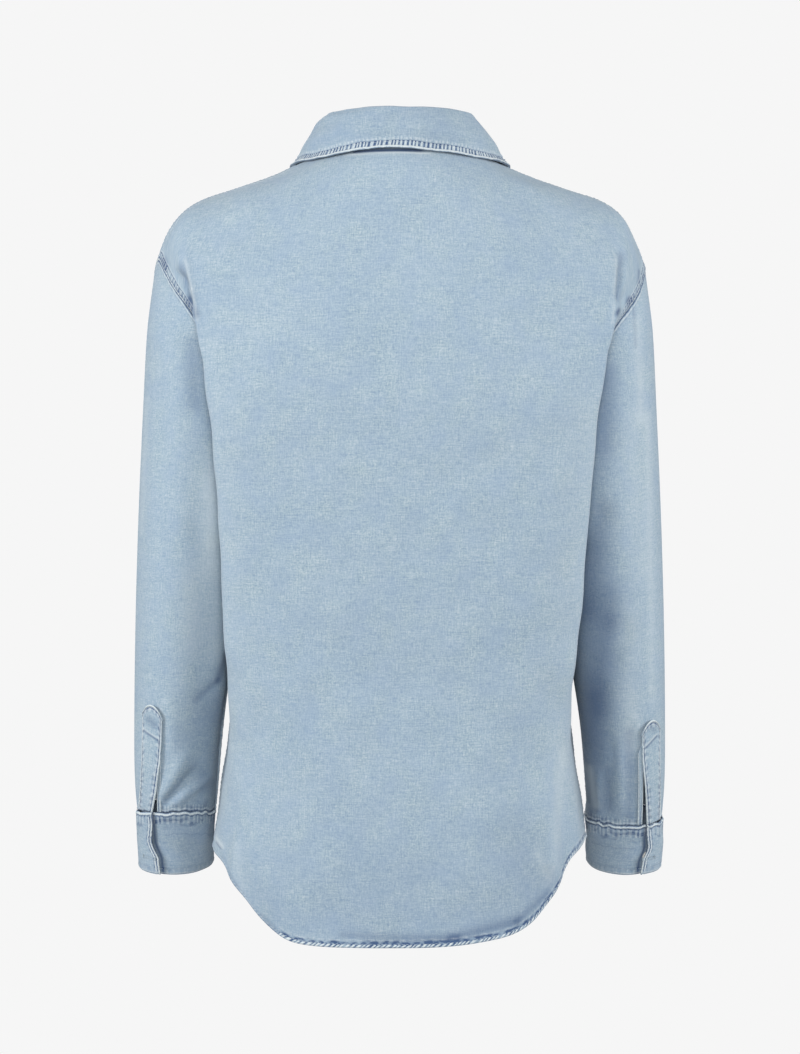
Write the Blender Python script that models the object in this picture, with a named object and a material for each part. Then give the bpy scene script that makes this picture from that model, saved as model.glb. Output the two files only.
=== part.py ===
"""A long-sleeved denim shirt, buttoned up and filled out as if worn, with nobody in it.

Metres, +Z up. The wearer faces -Y and the wearer's left is +X. The origin is the middle of the neck's
base, level with the shoulders that hold the shirt up. Every piece of cloth is a closed wall: its outer
points come from splines through the tables below, and its inner points lie one thickness further in.
"""

import math

import bpy
import numpy as np
from mathutils import Vector
from mathutils.bvhtree import BVHTree
from mathutils.kdtree import KDTree


def table(columns, *rows):
    """Rows of numbers under named columns: table("z width", (0, 1), (1, 3))["width"] is [1, 3]."""
    return {name: np.array([row[i] for row in rows], float) for i, name in enumerate(columns.split())}


# Thicknesses and gaps.
WALL = 0.0015  # one layer of denim with its turned edges
DOUBLE_WALL = 0.0026  # two layers and an interlining: collar, stand and cuffs
LEAF_WALL = 0.0022
GAP = 0.0003  # between pieces at a seam

# Heights of the cut's corners.
UNDERARM_Z = -0.250
SPLINE_STEP = 0.270  # height of torso that counts as one step of the splines up a panel

# The torso below the underarm: one row for each level section of half the back and half the front.
# A ridge is the vertical fold beside the arm, and a tuck is the cloth turning in from it to the side.
BACK_TORSO = table(
    "z       centre_y mid_y   ridge_x  ridge_y tuck_x  tuck_y  side_x  side_y",
    (-0.730, 0.1120, 0.1020, 0.1500, 0.0640, 0.1700, 0.0320, 0.1760, 0.0000),
    (-0.620, 0.1060, 0.0965, 0.1460, 0.0610, 0.1630, 0.0310, 0.1690, 0.0000),
    (-0.530, 0.1010, 0.0925, 0.1400, 0.0600, 0.1530, 0.0330, 0.1560, 0.0000),
    (-0.440, 0.1010, 0.0935, 0.1530, 0.0680, 0.1550, 0.0420, 0.1440, 0.0000),
    (-0.350, 0.1060, 0.0995, 0.1610, 0.0770, 0.1530, 0.0470, 0.1330, 0.0000),
    (UNDERARM_Z, 0.1120, 0.1070, 0.1690, 0.0850, 0.1560, 0.0520, 0.1290, 0.0000),
)
FRONT_TORSO = table(
    "centre_y mid_y   ridge_x  ridge_y tuck_x  tuck_y",
    (-0.1120, -0.1020, 0.1500, -0.0640, 0.1700, -0.0320),
    (-0.1100, -0.1000, 0.1450, -0.0620, 0.1630, -0.0310),
    (-0.1100, -0.1000, 0.1370, -0.0640, 0.1520, -0.0350),
    (-0.1140, -0.1030, 0.1430, -0.0710, 0.1520, -0.0440),
    (-0.1190, -0.1080, 0.1500, -0.0790, 0.1490, -0.0520),
    (-0.1200, -0.1110, 0.1590, -0.0850, 0.1520, -0.0580),
)

# The torso above the underarm: a row runs from the centre line to the armhole, and turn is the share of
# the armhole's half circuit, from the underarm to the shoulder, where the row ends. The last row is the
# shoulder seam, which back and front share.
BACK_SHOULDER = table(
    "turn centre_y centre_z mid_x   mid_y   mid_z    ridge_x ridge_y  ridge_z  tuck_x  tuck_y  tuck_z",
    (0.30, 0.1130, -0.195, 0.0960, 0.1090, -0.1950, 0.1755, 0.0850, -0.1950, 0.1660, 0.0690, -0.2020),
    (0.53, 0.1065, -0.133, 0.0970, 0.1010, -0.1370, 0.1825, 0.0760, -0.1400, 0.1850, 0.0690, -0.1510),
    (0.74, 0.0915, -0.071, 0.1000, 0.0820, -0.0810, 0.1900, 0.0560, -0.0900, 0.2010, 0.0500, -0.1060),
    (0.88, 0.0660, 0.001, 0.1020, 0.0480, -0.0275, 0.1870, 0.0270, -0.0520, 0.2080, 0.0240, -0.0760),
    (1.00, -0.0100, 0.036, 0.1040, -0.0100, -0.0098, 0.1810, -0.0100, -0.0378, 0.2075, -0.0090, -0.0610),
)
FRONT_SHOULDER = table(
    "turn centre_y centre_z mid_x   mid_y   mid_z    ridge_x ridge_y  ridge_z  tuck_x  tuck_y  tuck_z",
    (0.30, -0.1180, -0.200, 0.0930, -0.1070, -0.2000, 0.1660, -0.0860, -0.2000, 0.1600, -0.0730, -0.2060),
    (0.53, -0.1070, -0.150, 0.0950, -0.0940, -0.1450, 0.1750, -0.0790, -0.1450, 0.1800, -0.0735, -0.1560),
    (0.74, -0.0900, -0.092, 0.0980, -0.0750, -0.0880, 0.1830, -0.0600, -0.0940, 0.1970, -0.0550, -0.1110),
    (0.88, -0.0600, -0.027, 0.1010, -0.0470, -0.0410, 0.1840, -0.0380, -0.0580, 0.2055, -0.0360, -0.0810),
    (1.00, -0.0100, 0.036, 0.1040, -0.0100, -0.0098, 0.1810, -0.0100, -0.0378, 0.2075, -0.0090, -0.0610),
)
# The folds beside the arms don't match: the wearer's right one stands further out.
RIDGE_SHIFT = {1: -0.0035, -1: 0.0035}
ACROSS = np.array([0.0, 0.36, 0.68, 0.86, 1.0])  # centre line, mid, ridge, tuck and edge, across a panel

# The armhole is an oval between two points, bowed a little towards the neck.
ARMHOLE_TOP = np.array([0.2235, -0.0080, -0.1010])
ARMHOLE_FOOT = np.array([0.1290, 0.0000, UNDERARM_Z])
ARMHOLE_HALF_WIDTH = 0.066
ARMHOLE_BOW = 0.008

# The back's curved hem: its height at each distance from the centre line. The front's curve is shallower.
HEM = table(
    "x      left     right",
    (0.000, -0.7008, -0.7008),
    (0.050, -0.7006, -0.6990),
    (0.080, -0.6990, -0.6950),
    (0.100, -0.6945, -0.6900),
    (0.115, -0.6850, -0.6812),
    (0.130, -0.6702, -0.6650),
    (0.142, -0.6552, -0.6460),
    (0.150, -0.6440, -0.6320),
    (0.160, -0.6336, -0.6235),
    (0.170, -0.6250, -0.6160),
)
FRONT_HEM_SHARE = 0.84

# The neck opening in plan: an ellipse with its own depth before and behind.
NECK_CENTRE_Y = -0.010
NECK_HALF_WIDTH = 0.074
NECK_BACK = 0.076
NECK_FRONT = 0.066

# The sleeve: a row for each ring, given by its outer and inner points as seen from behind, its depth, and
# how much lower its back lies than its front. The rows past 1 are the cuff's.
SLEEVE = table(
    "along out_x   out_z   in_x    in_z    mid_y    half_y  dip",
    (0.00, 0.2235, -0.1010, 0.1290, -0.2500, -0.0040, 0.0660, 0.0000),
    (0.10, 0.2290, -0.1500, 0.1300, -0.2650, -0.0030, 0.0675, 0.0000),
    (0.22, 0.2325, -0.2150, 0.1330, -0.2950, -0.0030, 0.0670, 0.0000),
    (0.36, 0.2360, -0.2920, 0.1390, -0.3400, -0.0040, 0.0645, 0.0000),
    (0.50, 0.2390, -0.3700, 0.1470, -0.3950, -0.0070, 0.0605, 0.0010),
    (0.65, 0.2412, -0.4450, 0.1550, -0.4580, -0.0120, 0.0555, 0.0025),
    (0.80, 0.2425, -0.5200, 0.1635, -0.5250, -0.0180, 0.0500, 0.0045),
    (0.92, 0.2420, -0.5760, 0.1680, -0.5760, -0.0230, 0.0440, 0.0065),
    (1.00, 0.2400, -0.6020, 0.1705, -0.6020, -0.0270, 0.0375, 0.0075),
    (1.16, 0.2388, -0.6430, 0.1718, -0.6430, -0.0350, 0.0360, 0.0085),
)
# The slit behind the wrist, a narrow V: degrees round the wrist from its outermost point to the back.
SLIT = table(
    "along from_degrees to_degrees",
    (0.84, 66.0, 68.0),
    (0.92, 61.0, 68.0),
    (1.00, 54.0, 67.0),
)

CUFF_FOOT = 1.16  # the sleeve row where the cuff ends
CUFF_PROUD = 0.0006  # how far the cuff stands out past the sleeve
CUFF_UNDERLAP = 20.0  # degrees that the cuff's under end runs past the slit
CUFF_LIFT = 0.0066  # how far the over end stands off, for the button below it
CUFF_BUTTON_BACK = 10.0  # degrees back from that edge to the button
CUFF_BUTTON_DOWN = 0.62
CUFF_EDGE = {1: (60.0, 71.0), -1: (66.0, 69.5)}  # degrees where the over end stops, above and below

PATCH_FOOT = 0.995  # where on the sleeve the strips beside the slit end, above the cuff
GAUNTLET_WIDTH = 31.0  # degrees round the wrist
GAUNTLET_PAST = 1.0  # degrees past the slit's edge
GAUNTLET_TOP_Z = {1: -0.4960, -1: -0.5090}
GAUNTLET_POINT = 0.016  # height of its rounded top
BINDING_WIDTH = 11.0
BINDING_TOP_Z = -0.526

# The collar stand rises and leans in from the neck seam, and the leaf turns over its top edge.
STAND_HEIGHT = table(  # forward is 0 at the centre back and 1 at the centre front
    "forward rise", (0.0, 0.0305), (0.2, 0.0297), (0.5, 0.0237), (0.8, 0.0230), (1.0, 0.0260)
)
STAND_LEAN = 0.0060
STAND_OVERLAP = 0.0165  # how far each end passes the centre front
STAND_LIFT = 0.0032
STAND_FOOT = 0.0016  # its lower edge above the neck seam
STAND_INSET = 0.0014  # its outer face inside the neck seam, clear of the panels' edges
LEAF_ROLL = 0.0042  # radius of the fold at the collar's top
LEAF_END = 170.0  # degrees round the neck from the centre back to the leaf's front edges
LEAF_BULGE = 0.0030
LEAF_CLEAR = 0.0037  # the leaf's outer face above the shoulder that it lies on
LEAF_EDGE = table(  # the leaf's outer edge, from the centre back to the collar point
    "turn x       y        z",
    (0.00, 0.0000, 0.0750, -0.0010),
    (0.22, 0.0480, 0.0625, -0.0020),
    (0.40, 0.0815, 0.0340, -0.0050),
    (0.55, 0.0995, -0.0070, -0.0060),
    (0.75, 0.0930, -0.0530, -0.0400),
    (0.90, 0.0700, -0.0770, -0.0700),
    (1.00, 0.0510, -0.0925, -0.0990),
)

# The button band lies over both fronts, which meet beneath it.
BAND_HALF_WIDTH = 0.0165
FRONTS_MEET_X = -0.0110
BAND_TOP_SHARE = 0.45  # how far up the fronts' last row it reaches, short of the collar stand
BUTTON_RADIUS = 0.0053
BUTTON_THICKNESS = 0.0022
FRONT_BUTTONS = 6
FIRST_BUTTON_Z = -0.125
LAST_BUTTON_Z = -0.575

# Large soft folds: which panel, where across it, between which heights, how wide and how deep.
FOLDS = {
    "back": table(
        "across from_z  to_z   width depth",
        (-0.60, -0.740, -0.500, 0.10, 0.0030),
        (0.66, -0.740, -0.540, 0.11, 0.0034),
        (0.30, -0.740, -0.600, 0.16, 0.0016),
    ),
    "front": table(
        "across from_z  to_z   width depth",
        (-0.52, -0.720, -0.420, 0.12, 0.0036),
        (0.56, -0.720, -0.460, 0.12, 0.0034),
        (0.40, -0.420, -0.180, 0.14, 0.0022),
    ),
}

# Grid counts.
ROWS_BELOW = 11
ROWS_ABOVE = 12  # the sleeve has twice as many columns, so that both meet point to point
NECK_COLUMNS = 6
SHOULDER_COLUMNS = 9
SLEEVE_ROWS = 16
COLLAR_COLUMNS = 36

DENIM = (0.42, 0.53, 0.65)
PEARL = (0.82, 0.80, 0.76)


# Splines.


def spline_weights(knots, at):
    """Weights, one column for each knot, of the natural cubic spline through values at the knots."""
    count = len(knots)
    step = np.diff(knots)
    bend = np.eye(count)
    value = np.zeros((count, count))
    for i in range(1, count - 1):
        bend[i, i - 1 : i + 2] = step[i - 1], 2 * (step[i - 1] + step[i]), step[i]
        value[i, i - 1 : i + 2] = 6 / step[i - 1], -6 / step[i - 1] - 6 / step[i], 6 / step[i]
    second = np.linalg.solve(bend, value)
    at = np.asarray(at, float)
    low = np.clip(np.searchsorted(knots, at) - 1, 0, count - 2)
    width = step[low]
    b = (at - knots[low]) / width
    a = 1 - b
    unit = np.eye(count)
    square = (width**2 / 6)[..., None]
    return (
        a[..., None] * unit[low]
        + b[..., None] * unit[low + 1]
        + ((a**3 - a)[..., None] * second[low] + (b**3 - b)[..., None] * second[low + 1]) * square
    )


def read(rows, key, columns, at):
    """The named columns of a table, read at the numbers given along its key column."""
    values = np.stack([rows[name] for name in columns.split()], axis=-1)
    return spline_weights(rows[key], at) @ values


def smooth(x):
    """0 below 0, 1 above 1, and a smooth rise between them."""
    x = np.clip(x, 0, 1)
    return x * x * (3 - 2 * x)


def unit(vectors):
    return vectors / np.maximum(np.linalg.norm(vectors, axis=-1, keepdims=True), 1e-12)


# The torso's surface: u runs across from -1 to 1, and q up it: 0 at the underarm, 1 at the shoulder seam.


def height_to_q(z):
    return (z - UNDERARM_Z) / SPLINE_STEP


def armhole(turn, back):
    """The armhole's edge on the wearer's left; turn is 0 at the underarm and 1 at the shoulder."""
    angle = np.pi * np.asarray(turn, float)[..., None]
    along = (1 - np.cos(angle)) / 2
    point = ARMHOLE_FOOT + (ARMHOLE_TOP - ARMHOLE_FOOT) * along
    side = 1 if back else -1
    bow = np.array([-ARMHOLE_BOW, side * ARMHOLE_HALF_WIDTH, 0])
    return point + np.sin(angle) * bow


def panel_edge(q, back):
    """The panel's left edge: the side seam below the underarm and the armhole above it."""
    z = UNDERARM_Z + SPLINE_STEP * np.minimum(q, 0)
    side = read(BACK_TORSO, "z", "side_x side_y", z)
    seam = np.concatenate([side, z[..., None]], axis=-1)
    return np.where((q > 0)[..., None], armhole(np.clip(q, 0, 1), back), seam)


def panel_columns(back):
    """Control points of half a panel: (rows, centre to tuck, xyz), with the rows' places along q."""
    low = BACK_TORSO if back else {**FRONT_TORSO, "z": BACK_TORSO["z"]}
    high = BACK_SHOULDER if back else FRONT_SHOULDER
    z = low["z"]
    mid_x = 0.62 * low["ridge_x"]
    zero = np.zeros_like(z)
    below = np.stack(
        [
            np.stack([zero, low["centre_y"], z], -1),
            np.stack([mid_x, low["mid_y"], z], -1),
            np.stack([low["ridge_x"], low["ridge_y"], z], -1),
            np.stack([low["tuck_x"], low["tuck_y"], z], -1),
        ],
        axis=1,
    )
    none = np.zeros_like(high["turn"])
    above = np.stack(
        [np.stack([none, high["centre_y"], high["centre_z"]], -1)]
        + [
            np.stack([high[name + "_x"], high[name + "_y"], high[name + "_z"]], -1)
            for name in ("mid", "ridge", "tuck")
        ],
        axis=1,
    )
    places = np.concatenate([height_to_q(z), high["turn"]])
    return places, np.concatenate([below, above])


SLEEVE_CLEAR = 0.0048
CONTROL = {back: panel_columns(back) for back in (True, False)}
MIRROR = np.array([-1.0, 1.0, 1.0])
UPRIGHT = np.array([0.0, 0.0, 1.0])
ACROSS_BOTH = np.concatenate([-ACROSS[:0:-1], ACROSS])


def torso(u, q, back):
    """Points of the back or the front at u across and q up, which are arrays of one shape."""
    places, control = CONTROL[back]
    up = spline_weights(places, q)
    half = [up @ control[:, k] for k in range(4)] + [panel_edge(q, back)]
    shift = smooth((q + 1.1) / 0.8) * smooth((1.0 - q) / 0.3) * back
    aside = [np.stack([share * shift, 0 * q, 0 * q], -1) for share in (0, 0.3, 1, 0.5, 0)]
    left = [point + RIDGE_SHIFT[1] * move for point, move in zip(half, aside)]
    right = [(point + RIDGE_SHIFT[-1] * move) * MIRROR for point, move in zip(half, aside)]
    both = right[:0:-1] + left
    across = spline_weights(ACROSS_BOTH, u)
    return sum(across[..., k, None] * point for k, point in enumerate(both))


def grid_faces(shape, start=0, flip=False):
    """Faces of a grid of points, whose first point is number start."""
    rows, columns = shape
    first = [start + i * columns + j for i in range(rows - 1) for j in range(columns - 1)]
    faces = [(k, k + 1, k + columns + 1, k + columns) for k in first]
    return [face[::-1] for face in faces] if flip else faces


def sleeve_tree():
    """The wearer's left sleeve, for the torso to give way to."""
    along, degrees = np.meshgrid(np.linspace(0, 1, 64), np.linspace(0, 360, 73), indexing="ij")
    points = sleeve_ring(along, degrees)
    return BVHTree.FromPolygons([tuple(point) for point in points.reshape(-1, 3)], grid_faces(along.shape))


def give_way(points, u, q):
    """Moves the torso's sides in where they would be inside the sleeves."""
    moved = points.copy()
    near = (np.abs(u) > 0.5) & (q < 0.75) & (points[..., 2] > SLEEVE["out_z"][-1])
    edge = np.where(q > 0, 1 - np.abs(u), 1.0) / 0.04
    clear = SLEEVE_CLEAR * smooth(edge)
    for place in zip(*np.nonzero(near)):
        x, y, z = points[place]
        hit = SLEEVE_TREE.ray_cast((0.10, y, z), (1, 0, 0))[0]
        if hit is not None:
            limit = hit.x - clear[place]
            moved[place][0] = math.copysign(soft_least(abs(x), limit), x)
    return moved


def soft_least(a, b):
    """The smaller of two numbers, rounded where they cross."""
    round_over = 0.004
    blend = max(round_over - abs(a - b), 0) / round_over
    return min(a, b) - blend * blend * round_over / 4


def fold_lift(name, u, z):
    """How far the large folds push a panel out."""
    folds = FOLDS[name]
    lift = np.zeros_like(u)
    for across, low, high, width, depth in zip(*folds.values()):
        length = smooth((z - low) / 0.08 + 0.5) * smooth((high - z) / 0.12)
        lift += depth * length * np.exp(-(((u - across) / (width / 2)) ** 2))
    return lift


def q_at_hem(u, back):
    """How far up the hem is, at u across the panel."""
    side = 0 if back else q_at_hem(np.where(u >= 0, 1.0, -1.0), True)
    share = 1 if back else FRONT_HEM_SHARE
    q = np.full_like(u, -1.5)
    for _ in range(12):
        x = torso(u, q, back)[..., 0]
        heights = read(HEM, "x", "left right", np.abs(x))
        level = height_to_q(np.where(x >= 0, heights[..., 0], heights[..., 1]))
        q = side + (level - side) * share
    return q


def find(x, y, back):
    """The (u, q) of the torso's points above (x, y), near the neck."""
    u, q = x / 0.29, np.full_like(x, 0.9)
    step = 1e-4
    for _ in range(20):
        here = torso(u, q, back)[..., :2]
        along_u = (torso(u + step, q, back)[..., :2] - here) / step
        along_q = (torso(u, q - step, back)[..., :2] - here) / -step
        miss = np.stack([x, y], -1) - here
        area = along_u[..., 0] * along_q[..., 1] - along_u[..., 1] * along_q[..., 0]
        u = u + 0.8 * (miss[..., 0] * along_q[..., 1] - miss[..., 1] * along_q[..., 0]) / area
        q = np.minimum(q + 0.8 * (along_u[..., 0] * miss[..., 1] - along_u[..., 1] * miss[..., 0]) / area, 1.0)
    return u, q


def neck_plan(degrees, inset):
    """Points in plan round the neck from the centre back; inset is how far inside the neck seam."""
    angle = np.radians(degrees)
    depth = np.where(np.cos(angle) > 0, NECK_BACK, NECK_FRONT)
    x = (NECK_HALF_WIDTH - inset) * np.sin(angle)
    y = NECK_CENTRE_Y + (depth - inset) * np.cos(angle)
    return x, y


def u_at_x(x, q, back):
    """Where across a panel it passes x, near the centre line."""
    u = np.full_like(q, x / 0.27)
    for _ in range(8 if x else 0):
        u = u * x / torso(u, q, back)[..., 0]
    return u


def half_columns(back):
    """Half a panel's columns: u below the underarm, and the (u, q) where each ends, at neck or shoulder."""
    turned = np.linspace(0, 90, NECK_COLUMNS + 1)
    low = np.linspace(0, 1, NECK_COLUMNS + SHOULDER_COLUMNS + 1)
    if not back:
        edge = math.degrees(math.asin(BAND_HALF_WIDTH / NECK_HALF_WIDTH))
        turned = np.concatenate([[0], np.linspace(edge, 90, NECK_COLUMNS)])
        low[1] = u_at_x(BAND_HALF_WIDTH, np.array(-0.5), False)
        turned = 180 - turned
    x, y = neck_plan(turned, 0.0)
    top_u, top_q = find(x, y, back)
    shoulder = np.linspace(top_u[-1], 1, SHOULDER_COLUMNS + 1)[1:]
    top_q[-1] = 1.0
    return low, np.concatenate([top_u, shoulder]), np.concatenate([top_q, np.ones_like(shoulder)])


def column_at(x):
    """The front's column that runs straight up at x, from the hem to the neck."""
    turned = 180 - np.degrees(np.arcsin(np.array([x / NECK_HALF_WIDTH])))
    top_u, top_q = find(*neck_plan(turned, 0.0), False)
    return np.array([u_at_x(x, np.array(-0.5), False)]), top_u, top_q


# Cloth: a grid of outer points, made into a closed wall.


class Cloth:
    """A grid of outer points (rows up, columns across), with normals that point out of the garment.

    A ring's last column joins its first. Out is away from the centre, by default the upright line through
    the origin. Turned says that the columns had to be reversed for that."""

    def __init__(self, name, points, ring=False, wall=WALL, centre=None):
        self.name, self.points, self.ring, self.wall = name, points, ring, wall
        self.hole = lambda row, column: False
        away = points - (points * UPRIGHT if centre is None else centre)
        self.turned = (away * self.grid_normals()).sum() < 0
        if self.turned:
            self.points = points[:, ::-1].copy()
        self.own = self.grid_normals()
        self.normals = self.own.copy()

    def grid_normals(self):
        p = self.points
        if self.ring:
            around = np.roll(p, -1, axis=1) - np.roll(p, 1, axis=1)
        else:
            around = np.gradient(p, axis=1)
        return unit(np.cross(around, np.gradient(p, axis=0)))

    def edges(self):
        """Index arrays of the grid's open edges, each with the index of its neighbour inside."""
        rows, columns = self.points.shape[:2]
        across, up = np.arange(columns), np.arange(rows)
        found = [((0 * across, across), (0 * across + 1, across))]
        found.append(((0 * across + rows - 1, across), (0 * across + rows - 2, across)))
        if not self.ring:
            found.append(((up, 0 * up), (up, 0 * up + 1)))
            found.append(((up, 0 * up + columns - 1), (up, 0 * up + columns - 2)))
        return found


def meet(pieces):
    """Where edges of several pieces meet, they share one normal and draw back half a gap each."""
    rim = []
    for piece in pieces:
        places = {(int(i), int(j)) for edge, _ in piece.edges() for i, j in zip(*edge)}
        rim += [(piece, i, j) for i, j in sorted(places)]
    tree = KDTree(len(rim))
    for index, (piece, i, j) in enumerate(rim):
        tree.insert(piece.points[i, j], index)
    tree.balance()
    moves = []
    for piece, i, j in rim:
        found = [rim[index] for _, index, _ in tree.find_range(piece.points[i, j], 2e-5)]
        if len({other.name for other, _, _ in found}) < 2:
            continue
        piece.normals[i, j] = unit(sum(other.own[k, m] for other, k, m in found))
        moves.append((piece, i, j))
    met = {(piece.name, i, j) for piece, i, j in moves}
    for piece in pieces:
        shift = np.zeros_like(piece.points)
        for edge, inside in piece.edges():
            points = piece.points[edge]
            run = np.roll(points, -1, 0) - np.roll(points, 1, 0) if piece.ring else np.gradient(points, axis=0)
            normal = piece.normals[edge]
            aside = unit(np.cross(run, normal))
            inward = unit(piece.points[inside] - points) - piece.own[edge]
            aside *= np.sign((aside * inward).sum(-1, keepdims=True))
            joined = [(piece.name, int(i), int(j)) in met for i, j in zip(*edge)]
            seam = np.array(joined) & (np.roll(joined, 1) | np.roll(joined, -1))
            shift[edge] += aside * (GAP / 2) * seam[:, None]
        piece.points = piece.points + shift


def mesh_object(name, vertices, faces, colour):
    mesh = bpy.data.meshes.new(name)
    mesh.from_pydata([tuple(v) for v in vertices], [], faces)
    mesh.validate()
    mesh.shade_smooth()
    mesh.set_sharp_from_angle(angle=math.radians(50))
    made = bpy.data.objects.new(name, mesh)
    bpy.context.scene.collection.objects.link(made)
    material = bpy.data.materials.new(name)
    material.use_nodes = True
    shader = material.node_tree.nodes["Principled BSDF"]
    shader.inputs["Base Color"].default_value = (*colour, 1)
    shader.inputs["Roughness"].default_value = 0.9 if colour == DENIM else 0.3
    shader.inputs["Metallic"].default_value = 0.0
    mesh.materials.append(material)
    return made


def wall_object(cloth):
    """The closed wall between a cloth's outer points and its inner points, less any hole."""
    outer = cloth.points
    inner = outer - cloth.normals * cloth.wall
    rows, columns = outer.shape[:2]
    last = columns if cloth.ring else columns - 1
    count = rows * columns

    def kept(i, j):
        if cloth.ring:
            j %= columns
        return 0 <= i < rows - 1 and 0 <= j < last and not cloth.hole(i, j)

    def at(i, j):
        return i * columns + j % columns

    faces = []
    for i in range(rows - 1):
        for j in range(last):
            if not kept(i, j):
                continue
            quad = [at(i, j), at(i, j + 1), at(i + 1, j + 1), at(i + 1, j)]
            faces.append(quad)
            faces.append([v + count for v in quad[::-1]])
            beside = [kept(i - 1, j), kept(i, j + 1), kept(i + 1, j), kept(i, j - 1)]
            for k, there in enumerate(beside):
                if not there:
                    a, b = quad[k], quad[(k + 1) % 4]
                    faces.append([b, a, a + count, b + count])
    used = sorted({v for face in faces for v in face})
    place = {v: n for n, v in enumerate(used)}
    vertices = np.concatenate([outer.reshape(-1, 3), inner.reshape(-1, 3)])[used]
    return mesh_object(cloth.name, vertices, [[place[v] for v in face] for face in faces], DENIM)


# The pieces.


def panel_grid(columns, name, straight=None):
    """The grid of a panel from the hem up; straight gives the columns that keep to one x, and that x."""
    back = name == "back"
    low, top_u, top_q = columns
    foot = q_at_hem(low, back)
    below = foot * (1 - np.linspace(0, 1, ROWS_BELOW + 1)[:, None])
    share = np.linspace(0, 1, ROWS_ABOVE + 1)[1:, None]
    q = np.concatenate([below, top_q * share])
    u = np.concatenate([low + 0 * below, low + (top_u - low) * share**2])
    for column, x in (straight or {}).items():
        u[:, column] = u_at_x(x, q[:, column], back)
    points = give_way(torso(u, q, back), u, q)
    cloth = Cloth(name, points)
    lift = fold_lift(name, u, points[..., 2])
    cloth.points = cloth.points + cloth.own * (lift[:, ::-1] if cloth.turned else lift)[..., None]
    return cloth


def mirrored(columns):
    """A half's columns on both sides of the centre line."""
    low, top_u, top_q = columns
    return (
        np.concatenate([-low[:0:-1], low]),
        np.concatenate([-top_u[:0:-1], top_u]),
        np.concatenate([top_q[:0:-1], top_q]),
    )


def back_panel():
    return panel_grid(mirrored(half_columns(True)), "back")


def front_panels():
    """The two fronts. They meet under the button band, a little to the wearer's right."""
    half, meeting = half_columns(False), column_at(FRONTS_MEET_X)
    left = [np.concatenate([m, h]) for m, h in zip(meeting, half)]
    right = [np.concatenate([sign * h[:0:-1], m]) for sign, m, h in zip((-1, -1, 1), meeting, half)]
    last = len(right[0]) - 1
    left = panel_grid(left, "front", {0: FRONTS_MEET_X, 1: 0.0, 2: BAND_HALF_WIDTH})
    right = panel_grid(right, "front", {last: FRONTS_MEET_X, last - 1: -BAND_HALF_WIDTH})
    left.name, right.name = "front_left", "front_right"
    return left, right


def sleeve_ring(along, degrees):
    """Points of the wearer's left sleeve; degrees run from its outer side towards the back."""
    ring = read(SLEEVE, "along", "out_x out_z in_x in_z mid_y half_y dip", along)
    out_x, out_z, in_x, in_z, mid_y, half_y, dip = np.moveaxis(ring, -1, 0)
    angle = np.radians(degrees)
    across = (1 + np.cos(angle)) / 2
    x = in_x + (out_x - in_x) * across
    z = in_z + (out_z - in_z) * across - dip * np.sin(angle)
    at_armhole = 1 - smooth(along / 0.12)
    bow = ARMHOLE_BOW * np.abs(np.sin(angle)) * at_armhole
    seam_y = ARMHOLE_FOOT[1] + (ARMHOLE_TOP[1] - ARMHOLE_FOOT[1]) * across
    y = half_y * np.sin(angle) + mid_y + (seam_y - mid_y) * at_armhole
    return np.stack([x - bow, y, z], -1)


def sleeve_along():
    """Places of the rings, with one at the top of the slit."""
    above = round(SLEEVE_ROWS * 0.8)
    upper = SLIT["along"][0] * np.linspace(0, 1, above + 1) ** 1.08
    lower = np.linspace(SLIT["along"][0], 1, SLEEVE_ROWS - above + 1)
    return np.concatenate([upper, lower[1:]]), above


def slit_edges(along):
    edges = read(SLIT, "along", "from_degrees to_degrees", np.maximum(along, SLIT["along"][0]))
    return edges[..., 0], edges[..., 1]


def sleeve(side, name):
    columns = 2 * ROWS_ABOVE
    step = 360 / columns
    along, above = sleeve_along()
    degrees = np.tile(np.arange(columns) * step, (len(along), 1))
    before = round(60 / step)
    share = smooth((along - 0.4) / 0.35)
    for column, edge in zip((before, before + 1), slit_edges(along)):
        degrees[:, column] += (edge - degrees[:, column]) * share
    points = sleeve_ring(np.broadcast_to(along[:, None], degrees.shape), degrees)
    points = points * np.array([side, 1, 1])
    cloth = Cloth(name, points, ring=True, centre=points.mean(axis=1, keepdims=True))
    column = columns - 2 - before if cloth.turned else before
    cloth.hole = lambda row, j: row >= above and j == column
    return cloth


def wrist(side, degrees, down, out):
    """Points round the cuff: down it from 0 to 1, and moved out from the sleeve's surface."""
    along = 1 + (CUFF_FOOT - 1) * down
    points = sleeve_ring(along, degrees)
    angle = np.radians(degrees)
    radial = np.stack([np.cos(angle), np.sin(angle), 0 * angle], -1)
    points = points + radial * out[..., None]
    points[..., 2] -= GAP * (1 - down)
    return points * np.array([side, 1, 1])


def cuff(side, name):
    """A band round the wrist. Its over end lies on the front of the slit and stands off the under end."""
    columns = 30
    down = np.linspace(1, 0, 4)[:, None] + np.zeros(columns + 1)
    above, below = CUFF_EDGE[side]
    over = above + (below - above) * down
    under = over - CUFF_UNDERLAP
    turned = under + (360 + over - under) * np.linspace(0, 1, columns + 1)
    lift = CUFF_LIFT * smooth((turned - 352) / (360 - CUFF_UNDERLAP + over - 3 - 352))
    points = wrist(side, turned, down, CUFF_PROUD + lift)
    return Cloth(name, points, wall=DOUBLE_WALL, centre=points.mean(axis=1, keepdims=True))


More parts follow.
